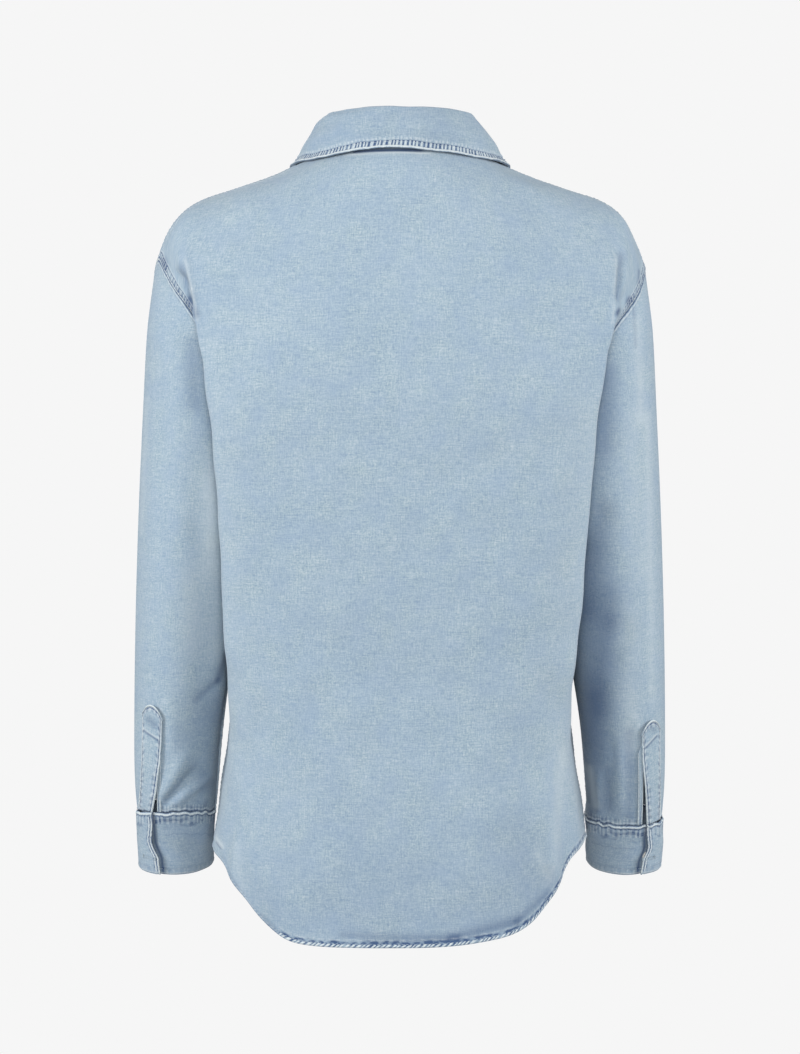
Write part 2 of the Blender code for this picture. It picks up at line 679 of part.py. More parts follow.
def sleeve_patch(name, side, tops, edges, rows):
    """A strip that lies on the sleeve down to the cuff: a top height for each column, and its two edges."""
    along = np.linspace(0.6, 1, 60)
    heights = sleeve_ring(along, np.full_like(along, 50.0))[:, 2]
    place = np.empty((rows + 1, len(tops)))
    for k, top in enumerate(tops):
        highest = np.interp(-top, -heights, along)
        place[:, k] = np.linspace(PATCH_FOOT, highest, rows + 1)
    first, last = edges(place)
    turned = first + (last - first) * np.linspace(0, 1, len(tops))
    points = sleeve_ring(place, turned)
    nudge = 1e-3
    up = sleeve_ring(place - nudge, turned) - sleeve_ring(place + nudge, turned)
    around = sleeve_ring(place, turned + 0.5) - sleeve_ring(place, turned - 0.5)
    normal = unit(np.cross(around, up))
    flip = np.array([side, 1, 1])
    return Cloth(name, (points + normal * (WALL + GAP)) * flip, centre=(points - normal) * flip)


def gauntlet(side, name):
    """The slit's upper placket, with a rounded top."""
    across = np.linspace(-1, 1, 7)
    tops = GAUNTLET_TOP_Z[side] - GAUNTLET_POINT * (1 - np.sqrt(1 - (0.94 * across) ** 2))

    def edges(along):
        last = slit_edges(along)[0] + GAUNTLET_PAST
        return last - GAUNTLET_WIDTH, last

    return sleeve_patch(name, side, tops, edges, 7)


def binding(side, name):
    """The narrow strip that binds the slit's under edge."""

    def edges(along):
        first = slit_edges(along)[1]
        return first, first + BINDING_WIDTH

    return sleeve_patch(name, side, np.full(3, BINDING_TOP_Z), edges, 5)


def dome():
    """The torso's surface with the neck not yet cut, for the collar to lie on."""
    corners, faces = [], []
    for back in (True, False):
        q, u = np.meshgrid(np.linspace(0, 1, 49), np.linspace(-1, 1, 81), indexing="ij")
        faces += grid_faces(q.shape, len(corners), flip=back)
        corners += [tuple(point) for point in torso(u, q, back).reshape(-1, 3)]
    return BVHTree.FromPolygons(corners, faces)


def clear_of(tree, points):
    """The points, moved out to stand clear of the torso."""
    moved = points.copy()
    for k, point in enumerate(points):
        near, normal = tree.find_nearest(point)[:2]
        moved[k] += np.array(normal) * max(LEAF_CLEAR - (Vector(point) - near).dot(normal), 0)
    return moved


def stand_top(degrees):
    """The height of the stand's top edge, which passes the shoulder seam without its corner."""
    forward = (1 - np.cos(np.radians(degrees))) / 2
    seam = sum(neck_height(degrees + aside) for aside in (-24, -12, 0, 12, 24)) / 5
    return seam + read(STAND_HEIGHT, "forward", "rise", forward)[..., 0]


def neck_height(degrees):
    """The height of the neck seam, from the centre back round."""
    x, y = neck_plan(degrees, 0.0)
    behind = np.cos(np.radians(degrees)) > 0
    heights = [torso(*find(x, y, back), back)[..., 2] for back in (True, False)]
    return np.where(behind, *heights)


def stand_points(degrees, rise):
    """The stand's outer face: degrees round the neck from the centre back, and rise from 0 to 1."""
    lift = STAND_LIFT * smooth((-degrees - 140) / 22)
    x, y = neck_plan(degrees, STAND_INSET + STAND_LEAN * rise - lift)
    foot = neck_height(degrees) + STAND_FOOT
    return np.stack([x, y, foot + (stand_top(degrees) - foot) * rise], -1)


def leaf_degrees():
    return np.linspace(-LEAF_END, LEAF_END, COLLAR_COLUMNS + 1)


def collar_stand():
    """A band round the neck; the end on the wearer's right lies over the other one."""
    reach = math.degrees(STAND_OVERLAP / NECK_FRONT)
    ends = 180 + reach * np.array([-0.3, 0.0, 0.3, 0.6])
    degrees = np.concatenate([-ends[::-1] - 0.4 * reach, leaf_degrees(), ends])
    rise = np.linspace(0, 1, 4)[:, None] + 0 * degrees
    return Cloth("collar_stand", stand_points(degrees + 0 * rise, rise), wall=DOUBLE_WALL)


def leaf_edge(turn):
    """The leaf's outer edge: turn runs from -1 to 1 between the collar points."""
    knots = np.concatenate([-LEAF_EDGE["turn"][:0:-1], LEAF_EDGE["turn"]])
    half = np.stack([LEAF_EDGE[name] for name in "xyz"], axis=-1)
    return spline_weights(knots, turn) @ np.concatenate([half[:0:-1] * MIRROR, half])


def collar_leaf(tree):
    """The collar's fall: up from the stand, over a tight roll and down to its edge."""
    degrees = leaf_degrees()
    top = stand_top(degrees)
    in_x, in_y = neck_plan(degrees, STAND_INSET + STAND_LEAN + DOUBLE_WALL)
    foot = np.stack([in_x, in_y, top + 2.5 * GAP], -1)
    angle = np.radians(degrees)
    outward = np.stack([np.sin(angle), np.cos(angle), 0 * angle], -1)
    centre = foot + outward * LEAF_ROLL + np.array([0, 0, 0.0012])
    rows = [foot]
    for roll in np.radians([180, 140, 100, 60, 20]):
        rows.append(centre + LEAF_ROLL * (outward * np.cos(roll) + np.array([0, 0, 1.0]) * np.sin(roll)))
    start, edge = rows[-1], leaf_edge(degrees / LEAF_END)
    control = (start + edge) / 2 + outward * LEAF_BULGE + np.array([0, 0, LEAF_BULGE])
    for share in np.linspace(0, 1, 7)[1:]:
        point = (1 - share) ** 2 * start + 2 * share * (1 - share) * control + share**2 * edge
        point = clear_of(tree, point)
        rows.append(point)
    return Cloth("collar_leaf", np.stack(rows), wall=LEAF_WALL)


def button_band():
    """The band that carries the buttonholes: the fronts' middle columns, moved out by their thickness."""
    xs = (-BAND_HALF_WIDTH, FRONTS_MEET_X, 0.0, BAND_HALF_WIDTH)
    columns = [np.concatenate(parts) for parts in zip(*[column_at(x) for x in xs])]
    cloth = panel_grid(columns, "front", dict(enumerate(xs)))
    points = cloth.points
    points[-1] = points[-2] + (points[-1] - points[-2]) * BAND_TOP_SHARE
    return Cloth("button_band", points + cloth.own * (WALL + GAP))


def button(name, centre, normal, up):
    """A round button: a dished disc with a raised rim, turned about its normal."""
    radius, thick = BUTTON_RADIUS, BUTTON_THICKNESS
    profile = [
        (0.80 * radius, 0.0),
        (radius, 0.30 * thick),
        (radius, 0.70 * thick),
        (0.88 * radius, thick),
        (0.66 * radius, 0.72 * thick),
    ]
    sides = 18
    normal = unit(np.array(normal, float))
    across = unit(np.cross(up, normal))
    upright = np.cross(normal, across)
    vertices = [np.array(centre, float)]
    for r, height in profile:
        for k in range(sides):
            turn = 2 * math.pi * k / sides
            vertices.append(
                centre + normal * height + (across * math.cos(turn) + upright * math.sin(turn)) * r
            )
    vertices.append(centre + normal * 0.72 * thick)
    faces = []
    for ring in range(len(profile) - 1):
        for k in range(sides):
            a = 1 + ring * sides + k
            b = 1 + ring * sides + (k + 1) % sides
            faces.append([a, b, b + sides, a + sides])
    tip = len(vertices) - 1
    last = 1 + (len(profile) - 1) * sides
    for k in range(sides):
        after = (k + 1) % sides
        faces.append([0, 1 + after, 1 + k])
        faces.append([tip, last + k, last + after])
    return mesh_object(name, vertices, faces, PEARL)


def buttons():
    """Buttons down the front, one at the collar, and one under each cuff's over end."""
    up = np.array([0.0, 0.0, 1.0])
    for k, z in enumerate(np.linspace(FIRST_BUTTON_Z, LAST_BUTTON_Z, FRONT_BUTTONS)):
        q = np.array([height_to_q(z), height_to_q(z) + 0.02])
        for _ in range(6):
            found = torso(np.zeros(2), q, False)
            q = q - (found[0, 2] - z) / SPLINE_STEP
        low, high = torso(np.zeros(2), q, False)
        normal = np.cross(unit(high - low), [1.0, 0, 0])
        normal = normal if normal[1] < 0 else -normal
        lift = fold_lift("front", np.zeros(1), np.array([z]))[0]
        button(f"button_front_{k + 1}", low + normal * (WALL + 2 * GAP + lift + 0.0002), normal, up)
    low, spot, high = stand_points(np.full(3, -180.0), np.array([0.0, 0.5, 1.0]))
    normal = unit(np.cross([1.0, 0, 0], unit(high - low)))
    button("button_collar", spot + normal * GAP, normal, up)
    for side, name in ((1, "left"), (-1, "right")):
        place = np.array([sum(CUFF_EDGE[side]) / 2 - CUFF_BUTTON_BACK])
        out = np.full(3, CUFF_PROUD + 3 * GAP)
        down = CUFF_BUTTON_DOWN + np.array([0, 0.1, 0])
        spot, below, beside = wrist(side, place + np.array([0, 0, 2]), down, out)
        normal = side * np.cross(beside - spot, spot - below)
        button(f"button_cuff_{name}", spot, normal, up)


SLEEVE_TREE = sleeve_tree()


def clear_scene():
    for old in list(bpy.data.objects):
        bpy.data.objects.remove(old)


def main():
    clear_scene()
    tree = dome()
    body = [back_panel(), *front_panels(), sleeve(1, "sleeve_left"), sleeve(-1, "sleeve_right")]
    meet(body)
    over = [button_band(), collar_stand(), collar_leaf(tree)]
    for side, name in ((1, "left"), (-1, "right")):
        over += [
            cuff(side, f"cuff_{name}"),
            gauntlet(side, f"gauntlet_{name}"),
            binding(side, f"binding_{name}"),
        ]
    for cloth in body + over:
        wall_object(cloth)
    buttons()


main()
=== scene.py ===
"""The looks of a light-wash denim shirt: cloth, seams, stitches, buttons, light and camera.

Metres, +Z up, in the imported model's frame: the wearer faces -Y and the wearer's left is +X. The cloth
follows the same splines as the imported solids, on a finer grid that carries its creases, seams and hems.
Its materials read the cloth's own flat coordinates, so that warp and weft run as the pieces are cut.
"""

import math

import bpy
import numpy as np
from mathutils import Matrix, Vector
from mathutils.bvhtree import BVHTree


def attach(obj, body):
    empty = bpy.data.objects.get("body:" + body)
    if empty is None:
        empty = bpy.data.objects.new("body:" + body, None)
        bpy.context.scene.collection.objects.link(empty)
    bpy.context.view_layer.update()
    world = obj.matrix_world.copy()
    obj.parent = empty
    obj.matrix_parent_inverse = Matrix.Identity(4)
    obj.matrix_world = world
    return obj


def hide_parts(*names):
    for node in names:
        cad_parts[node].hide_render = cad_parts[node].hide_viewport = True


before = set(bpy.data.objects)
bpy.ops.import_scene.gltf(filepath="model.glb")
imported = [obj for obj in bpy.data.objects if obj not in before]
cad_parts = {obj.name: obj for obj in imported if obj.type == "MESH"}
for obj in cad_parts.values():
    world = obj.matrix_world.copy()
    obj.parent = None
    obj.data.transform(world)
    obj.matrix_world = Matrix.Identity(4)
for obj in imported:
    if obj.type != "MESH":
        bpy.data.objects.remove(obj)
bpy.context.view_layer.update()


def table(columns, *rows):
    """Rows of numbers under named columns: table("z width", (0, 1), (1, 3))["width"] is [1, 3]."""
    return {name: np.array([row[i] for row in rows], float) for i, name in enumerate(columns.split())}


# Thicknesses and gaps.
WALL = 0.0015  # one layer of denim with its turned edges
DOUBLE_WALL = 0.0026  # two layers and an interlining: collar, stand and cuffs
LEAF_WALL = 0.0022
GAP = 0.0003  # between pieces at a seam
MM = 0.001  # the creases, the stains and the edges' finish are given in millimetres

# Heights of the cut's corners.
UNDERARM_Z = -0.250
SPLINE_STEP = 0.270  # height of torso that counts as one step of the splines up a panel

# The torso below the underarm: one row for each level section of half the back and half the front.
# A ridge is the vertical fold beside the arm, and a tuck is the cloth turning in from it to the side.
BACK_TORSO = table(
    "z       centre_y mid_y   ridge_x  ridge_y tuck_x  tuck_y  side_x  side_y",
    (-0.730, 0.1120, 0.1020, 0.1500, 0.0640, 0.1700, 0.0320, 0.1760, 0.0000),
    (-0.620, 0.1060, 0.0965, 0.1460, 0.0610, 0.1630, 0.0310, 0.1690, 0.0000),
    (-0.530, 0.1010, 0.0925, 0.1400, 0.0600, 0.1530, 0.0330, 0.1560, 0.0000),
    (-0.440, 0.1010, 0.0935, 0.1530, 0.0680, 0.1550, 0.0420, 0.1440, 0.0000),
    (-0.350, 0.1060, 0.0995, 0.1610, 0.0770, 0.1530, 0.0470, 0.1330, 0.0000),
    (UNDERARM_Z, 0.1120, 0.1070, 0.1690, 0.0850, 0.1560, 0.0520, 0.1290, 0.0000),
)
FRONT_TORSO = table(
    "centre_y mid_y   ridge_x  ridge_y tuck_x  tuck_y",
    (-0.1120, -0.1020, 0.1500, -0.0640, 0.1700, -0.0320),
    (-0.1100, -0.1000, 0.1450, -0.0620, 0.1630, -0.0310),
    (-0.1100, -0.1000, 0.1370, -0.0640, 0.1520, -0.0350),
    (-0.1140, -0.1030, 0.1430, -0.0710, 0.1520, -0.0440),
    (-0.1190, -0.1080, 0.1500, -0.0790, 0.1490, -0.0520),
    (-0.1200, -0.1110, 0.1590, -0.0850, 0.1520, -0.0580),
)

# The torso above the underarm: a row runs from the centre line to the armhole, and turn is the share of
# the armhole's half circuit, from the underarm to the shoulder, where the row ends. The last row is the
# shoulder seam, which back and front share.
BACK_SHOULDER = table(
    "turn centre_y centre_z mid_x   mid_y   mid_z    ridge_x ridge_y  ridge_z  tuck_x  tuck_y  tuck_z",
    (0.30, 0.1130, -0.195, 0.0960, 0.1090, -0.1950, 0.1755, 0.0850, -0.1950, 0.1660, 0.0690, -0.2020),
    (0.53, 0.1065, -0.133, 0.0970, 0.1010, -0.1370, 0.1825, 0.0760, -0.1400, 0.1850, 0.0690, -0.1510),
    (0.74, 0.0915, -0.071, 0.1000, 0.0820, -0.0810, 0.1900, 0.0560, -0.0900, 0.2010, 0.0500, -0.1060),
    (0.88, 0.0660, 0.001, 0.1020, 0.0480, -0.0275, 0.1870, 0.0270, -0.0520, 0.2080, 0.0240, -0.0760),
    (1.00, -0.0100, 0.036, 0.1040, -0.0100, -0.0098, 0.1810, -0.0100, -0.0378, 0.2075, -0.0090, -0.0610),
)
FRONT_SHOULDER = table(
    "turn centre_y centre_z mid_x   mid_y   mid_z    ridge_x ridge_y  ridge_z  tuck_x  tuck_y  tuck_z",
    (0.30, -0.1180, -0.200, 0.0930, -0.1070, -0.2000, 0.1660, -0.0860, -0.2000, 0.1600, -0.0730, -0.2060),
    (0.53, -0.1070, -0.150, 0.0950, -0.0940, -0.1450, 0.1750, -0.0790, -0.1450, 0.1800, -0.0735, -0.1560),
    (0.74, -0.0900, -0.092, 0.0980, -0.0750, -0.0880, 0.1830, -0.0600, -0.0940, 0.1970, -0.0550, -0.1110),
    (0.88, -0.0600, -0.027, 0.1010, -0.0470, -0.0410, 0.1840, -0.0380, -0.0580, 0.2055, -0.0360, -0.0810),
    (1.00, -0.0100, 0.036, 0.1040, -0.0100, -0.0098, 0.1810, -0.0100, -0.0378, 0.2075, -0.0090, -0.0610),
)
# The folds beside the arms don't match: the wearer's right one stands further out.
# The folds beside the arms don't match: the wearer's right one stands further out.
RIDGE_SHIFT = {1: -0.0035, -1: 0.0035}
RIDGE_SHIFT_SHARES = (0, 0.3, 1, 0.5, 0)  # at centre line, mid, ridge, tuck and edge
MID_SHARE = 0.62  # how far out mid lies below the underarm, as a share of the ridge's distance
SLEEVE_CLEAR = 0.0048  # how far inside the sleeves the torso's sides stay
ACROSS = np.array([0.0, 0.36, 0.68, 0.86, 1.0])  # centre line, mid, ridge, tuck and edge, across a panel

# The armhole is an oval between two points, bowed a little towards the neck.
ARMHOLE_TOP = np.array([0.2235, -0.0080, -0.1010])
ARMHOLE_FOOT = np.array([0.1290, 0.0000, UNDERARM_Z])
ARMHOLE_HALF_WIDTH = 0.066
ARMHOLE_BOW = 0.008

# The back's curved hem: its height at each distance from the centre line. The front's curve is shallower.
HEM = table(
    "x      left     right",
    (0.000, -0.7008, -0.7008),
    (0.050, -0.7006, -0.6990),
    (0.080, -0.6990, -0.6950),
    (0.100, -0.6945, -0.6900),
    (0.115, -0.6850, -0.6812),
    (0.130, -0.6702, -0.6650),
    (0.142, -0.6552, -0.6460),
    (0.150, -0.6440, -0.6320),
    (0.160, -0.6336, -0.6235),
    (0.170, -0.6250, -0.6160),
)
FRONT_HEM_SHARE = 0.84

# The neck opening in plan: an ellipse with its own depth before and behind.
NECK_CENTRE_Y = -0.010
NECK_HALF_WIDTH = 0.074
NECK_BACK = 0.076
NECK_FRONT = 0.066

# The sleeve: a row for each ring, given by its outer and inner points as seen from behind, its depth, and
# how much lower its back lies than its front. The rows past 1 are the cuff's.
SLEEVE = table(
    "along out_x   out_z   in_x    in_z    mid_y    half_y  dip",
    (0.00, 0.2235, -0.1010, 0.1290, -0.2500, -0.0040, 0.0660, 0.0000),
    (0.10, 0.2290, -0.1500, 0.1300, -0.2650, -0.0030, 0.0675, 0.0000),
    (0.22, 0.2325, -0.2150, 0.1330, -0.2950, -0.0030, 0.0670, 0.0000),
    (0.36, 0.2360, -0.2920, 0.1390, -0.3400, -0.0040, 0.0645, 0.0000),
    (0.50, 0.2390, -0.3700, 0.1470, -0.3950, -0.0070, 0.0605, 0.0010),
    (0.65, 0.2412, -0.4450, 0.1550, -0.4580, -0.0120, 0.0555, 0.0025),
    (0.80, 0.2425, -0.5200, 0.1635, -0.5250, -0.0180, 0.0500, 0.0045),
    (0.92, 0.2420, -0.5760, 0.1680, -0.5760, -0.0230, 0.0440, 0.0065),
    (1.00, 0.2400, -0.6020, 0.1705, -0.6020, -0.0270, 0.0375, 0.0075),
    (1.16, 0.2388, -0.6430, 0.1718, -0.6430, -0.0350, 0.0360, 0.0085),
)
# The slit behind the wrist, a narrow V: degrees round the wrist from its outermost point to the back.
SLIT = table(
    "along from_degrees to_degrees",
    (0.84, 66.0, 68.0),
    (0.92, 61.0, 68.0),
    (1.00, 54.0, 67.0),
)

CUFF_FOOT = 1.16  # the sleeve row where the cuff ends
CUFF_PROUD = 0.0006  # how far the cuff stands out past the sleeve
CUFF_UNDERLAP = 20.0  # degrees that the cuff's under end runs past the slit
CUFF_BUTTON_BACK = 10.0  # degrees back from the over end's edge to the button
CUFF_BUTTON_DOWN = 0.62  # of the cuff's depth
CUFF_EDGE = {1: (60.0, 71.0), -1: (66.0, 69.5)}  # degrees where the over end stops, above and below

PATCH_FOOT = 0.995  # where on the sleeve the strips beside the slit end, above the cuff
STRIP_FROM = 0.6  # how far down the sleeve its strips start at the earliest, as a share of it
STRIP_TURN = 50.0  # degrees round the sleeve where their tops are measured
STRIP_FOOT_TURN = 60.0  # degrees round the sleeve where their foot meets the cuff's seam
STRIP_RISE = (0.4, 0.9)  # where across it a raised strip comes up
GAUNTLET_WIDTH = 31.0  # degrees round the wrist
GAUNTLET_TOP_Z = {1: -0.4940, -1: -0.5085}
GAUNTLET_POINT = 0.016  # height of its rounded top
GAUNTLET_ROUND = 0.94  # how much of a half ellipse that is
BINDING_TOP_Z = -0.526

# The collar stand rises and leans in from the neck seam, and the leaf turns over its top edge.
STAND_HEIGHT = table(  # forward is 0 at the centre back and 1 at the centre front
    "forward rise", (0.0, 0.0305), (0.2, 0.0297), (0.5, 0.0237), (0.8, 0.0230), (1.0, 0.0260)
)
STAND_LEAN = 0.0060  # how far inside its foot its top is
STAND_OVERLAP = 0.0165  # how far each end passes the centre front
STAND_LIFT = 0.0032  # how far its over end stands off the under one
STAND_FOOT = 0.0016  # its lower edge above the neck seam
STAND_INSET = 0.0014  # its outer face inside the neck seam, clear of the panels' edges
LEAF_ROLL = 0.0042  # radius of the fold at the collar's top
LEAF_ROLL_UP = 0.0012  # how far that fold's centre lies above the leaf's foot
LEAF_ABOVE = 2.5 * GAP  # its foot above the stand's top edge
LEAF_END = 170.0  # degrees round the neck from the centre back to the leaf's front edges
LEAF_EDGE = table(  # the leaf's outer edge, from the centre back to the collar point
    "turn x       y        z",
    (0.00, 0.0000, 0.0750, -0.0010),
    (0.22, 0.0480, 0.0625, -0.0020),
    (0.40, 0.0815, 0.0340, -0.0050),
    (0.55, 0.0995, -0.0070, -0.0060),
    (0.75, 0.0930, -0.0530, -0.0400),
    (0.90, 0.0700, -0.0770, -0.0700),
    (1.00, 0.0510, -0.0925, -0.0990),
)

# The button band lies over both fronts, which meet beneath it.
BAND_HALF_WIDTH = 0.0165
FRONTS_MEET_X = -0.0110
BUTTON_RADIUS = 0.0053
BUTTON_THICKNESS = 0.0022
FRONT_BUTTONS = 6
FIRST_BUTTON_Z = -0.125
LAST_BUTTON_Z = -0.575

# Large soft folds: which panel, where across it, between which heights, how wide and how deep.
FOLDS = {
    "back": table(
        "across from_z  to_z   width depth",
        (-0.60, -0.740, -0.500, 0.10, 0.0030),
        (0.66, -0.740, -0.540, 0.11, 0.0034),
        (0.30, -0.740, -0.600, 0.16, 0.0016),
    ),
    "front": table(
        "across from_z  to_z   width depth",
        (-0.52, -0.720, -0.420, 0.12, 0.0036),
        (0.56, -0.720, -0.460, 0.12, 0.0034),
        (0.40, -0.420, -0.180, 0.14, 0.0022),
    ),
}

# The fine grids. Lengths along the pieces give the number of their rows and columns.
STEP = 0.0030  # between grid points on open cloth
STRIP_STEP = 0.0022  # on the collar and the button band
FINE_STEP = 0.0011  # near a seam or a hem
FINE_ZONE = 0.0125
FOLD_ZONE = 0.0360  # the back's columns are closer together where it folds beside the arms
BACK_COLUMNS = (66, 15, 12)  # of half the back: on open cloth, in that zone and beside the seam
NECK_SHARE = 0.4  # of half a panel's columns end at the neck, the others at the shoulder seam
BELOW_UNDERARM = 0.450
ABOVE_UNDERARM = 0.280
HALF_PANEL = 0.250
SLEEVE_LENGTH = 0.500
SLEEVE_COLUMNS = 112
SLIT_COLUMN_AT = 58.0  # degrees where the sleeve's columns part for the slit
SLIT_FELT = (15, 115)  # degrees between which they move over to follow it
GAUNTLET_COLUMNS = 27
BINDING_COLUMNS = 9
ROW_STEP = 0.0014  # between the rows of cuffs and collar stand
CUFF_STEP = 0.0016
LEAF_STEP = 0.0018
CUFF_DEPTH = 0.042
CUFF_LENGTH = 0.250
GAUNTLET_LENGTH = 0.115
STAND_LENGTH = 0.470
LEAF_LENGTH = 0.440
LEAF_FALL = 0.060

# How each piece's cloth differs from its solid's form.
SWELLS = {  # soft unevenness: height, length and seed
    "panel": (0.0004, 0.045, 3),
    "cuff": (0.0003, 0.030, 6),
    "leaf": (0.0003, 0.028, 9),
}
HEM_ROPED_TO = 0.108  # how far round to the wearer's left the back's hem has twisted as it wore
TURN_PAINTED_LIGHT = 0.20  # painted light: how much paler the back is painted where it turns to the side, lifting the shade there
PAST_NECK = 0.082  # how far from the centre line the shoulder seam's stitches start
PUSHES = table(  # where the folds beside the arms stand a little further in or out
    "u       z        wide    high    out",
    (0.8400, -0.1500, 0.1100, 0.0320, -0.0075),
    (0.8400, -0.2000, 0.1100, 0.0300, -0.0020),
    (0.8400, -0.2700, 0.1100, 0.0500, -0.0025),
    (-0.8400, -0.4100, 0.1100, 0.0500, 0.0025),
)
ARMHOLE_REACH = 0.050  # how far into the back the seam's place is felt
ARMHOLE_SEEN = table(  # how far down the sleeve its seam is behind, by degrees round it
    "degrees left     right",
    (0.0, 0.0000, 0.0000),
    (14.0, -0.0200, 0.0120),
    (30.0, -0.0150, 0.0280),
    (60.0, -0.0080, 0.0330),
    (90.0, -0.0140, 0.0320),
    (130.0, -0.0140, 0.0280),
    (160.0, -0.0060, 0.0110),
    (180.0, 0.0000, 0.0000),
)
BAND_TOP_AT = 0.954  # how far up the fronts' last rows the button band reaches
SLEEVE_WAVE = 0.0008  # height of the waves down the sleeve
SLEEVE_SLIMMER = {1: 0.0, -1: 0.0024}  # how far its inner side stands in above the wrist
CUFF_EDGE_SEEN = {1: (60.0, 71.0), -1: (60.0, 69.5)}  # degrees where the over end's edge stops
CUFF_WAVE = 1.2  # degrees that the over end's edge wanders
CUFF_SEAM_RISE = {1: 0.0250, -1: 0.0065}  # how far up the sleeve its seam is, as a share of the sleeve
CUFF_SEAM_WAVE = 0.0045  # how far that seam wanders, also as a share of the sleeve
CUFF_LIFT_ABOVE = 0.0030  # how far the over end stands off at its seam and below it
CUFF_LIFT_BELOW = 0.0054
CUFF_OFF_FROM = 352.0  # degrees round it from where the over end stands off
CUFF_DEEP = 0.20  # how dark the cuff is beside the rest
CUFF_GAP_SHADOW = 0.80  # painted shadow: how dark the under end is painted beside the over end's edge
CUFF_GAP_AT = 0.0128
CUFF_GAP_WIDTH = 0.0016
GAUNTLET_OVER = {1: (9.0, 7.0, 0.0), -1: (4.0, 4.5, 7.0)}  # degrees past the slit's edge, down the slit
GAUNTLET_RAISED = 0.0014  # how far its edge lies above the binding
BINDING_WALL = 0.0009
BINDING_SEEN = {1: 6.0, -1: 7.5}  # degrees
BINDING_SLANT = 0.012
LEAF_BOW = 0.0042  # how far the fall bows out
LEAF_FULLER = 0.0018  # how much further it stands out below its roll on the wearer's left
LEAF_DEEP = 0.10  # how much darker it is than the rest
LEAF_SETTLES = 0.85  # how much of the way its edge comes down to the shoulder
LEAF_SETTLED = 0.0027  # the leaf's outer face above the shoulder near its edge
LEAF_GAP = 0.0030  # and how much further it stands off near the centre back
LEAF_GAP_AT = 0.013
LEAF_GAP_WIDTH = 0.030

CLOTH_MAP = "cloth"  # the UV map of the cloth's own flat coordinates
SEAM_MAP = "seam"  # the UV map of places along the nearest seam and away from it
SEAM_REACH = 0.026  # how far from a seam its look may run
RIM = 0.0012  # the width over which an edge turns in and a band ends

# Creases beside the large folds, in millimetres: ends in x and z, half width and height; 1 behind, -1 before.
CREASE = "x0 z0 x1 z1 width depth behind"
CREASES = {
    "back": table(
        CREASE,
        (133, -565, 124, -660, 10, 2.2, 1),
        (-123, -575, -130, -645, 8, 1.6, 1),
        (-128.5, -627, -140, -648, 3, 1.6, 1),
        (-121, -633, -133, -656, 2.6, -1, 1),
        (189, -96, 177.5, -156, 2.4, 2.2, 1),
        (196, -108, 185, -145, 6, -5, 1),
        (180, -140, 174, -190, 3, 1.6, 1),
        (-192, -94, -188, -148, 2.4, 2.4, 1),
        (-198.5, -100, -194.5, -140, 5.5, -6.5, 1),
        (-188, -140, -183, -180, 3, 1.6, 1),
        (100, -35, 150, -90, 11, -1.2, 1),
        (-100, -35, -150, -90, 11, -1.2, 1),
        (20, -460, 90, -490, 14, -0.8, 1),
        (-30, -300, -100, -270, 16, -0.8, 1),
    ),
    "front": table(
        CREASE,
        (90, -160, 135, -230, 11, -1.6, -1),
        (-95, -150, -140, -225, 10, -1.5, -1),
        (50, -150, 80, -260, 12, -0.9, -1),
        (-60, -420, -110, -530, 12, 1.2, -1),
        (70, -470, 120, -570, 11, 1.3, -1),
        (130, -580, 121, -650, 9, 1.8, -1),
        (-120, -570, -129, -640, 9, 1.7, -1),
    ),
    "sleeve_left": table(
        CREASE,
        (218, -585, 188, -535, 6, 2.6, 1),
        (203, -585, 172, -560, 5, 3, 1),
        (213, -586, 184, -554, 4, -3, 1),
        (155, -445, 164, -473.5, 4.5, -1.6, 1),
        (164, -473.5, 185, -492, 4.5, -1.4, 1),
        (208, -490, 199, -570, 7, 1.2, 1),
        (215, -190, 205, -360, 8, -1, 1),
        (150, -370, 190, -330, 11, -1.2, 1),
        (164, -270, 160, -520, 11, 4.2, 1),
        (210, -570, 180, -520, 7, 1.8, -1),
        (218, -430, 175, -390, 9, -2, -1),
        (210, -460, 170, -430, 9, 1.8, -1),
        (215, -350, 170, -320, 10, -1.8, -1),
        (205, -210, 170, -270, 10, 1.6, -1),
    ),
    "sleeve_right": table(
        CREASE,
        (-181, -598, -179, -555, 3.5, 2.2, 1),
        (-187, -598, -184, -560, 3, -1.6, 1),
        (-199, -598, -198, -530, 5, 1.6, 1),
        (-188, -595, -190, -525, 5, -2, 1),
        (-208, -590, -206, -510, 6, -1.3, 1),
        (-185, -470, -208, -420, 9, -1.8, 1),
        (-215, -190, -208, -380, 8, -1, 1),
        (-150, -360, -190, -320, 11, -2.2, 1),
        (-210, -575, -180, -530, 7, 1.8, -1),
        (-218, -420, -175, -380, 9, -2, -1),
        (-212, -450, -170, -420, 9, 1.8, -1),
        (-215, -340, -170, -310, 10, -1.8, -1),
        (-205, -200, -170, -260, 10, 1.6, -1),
    ),
}
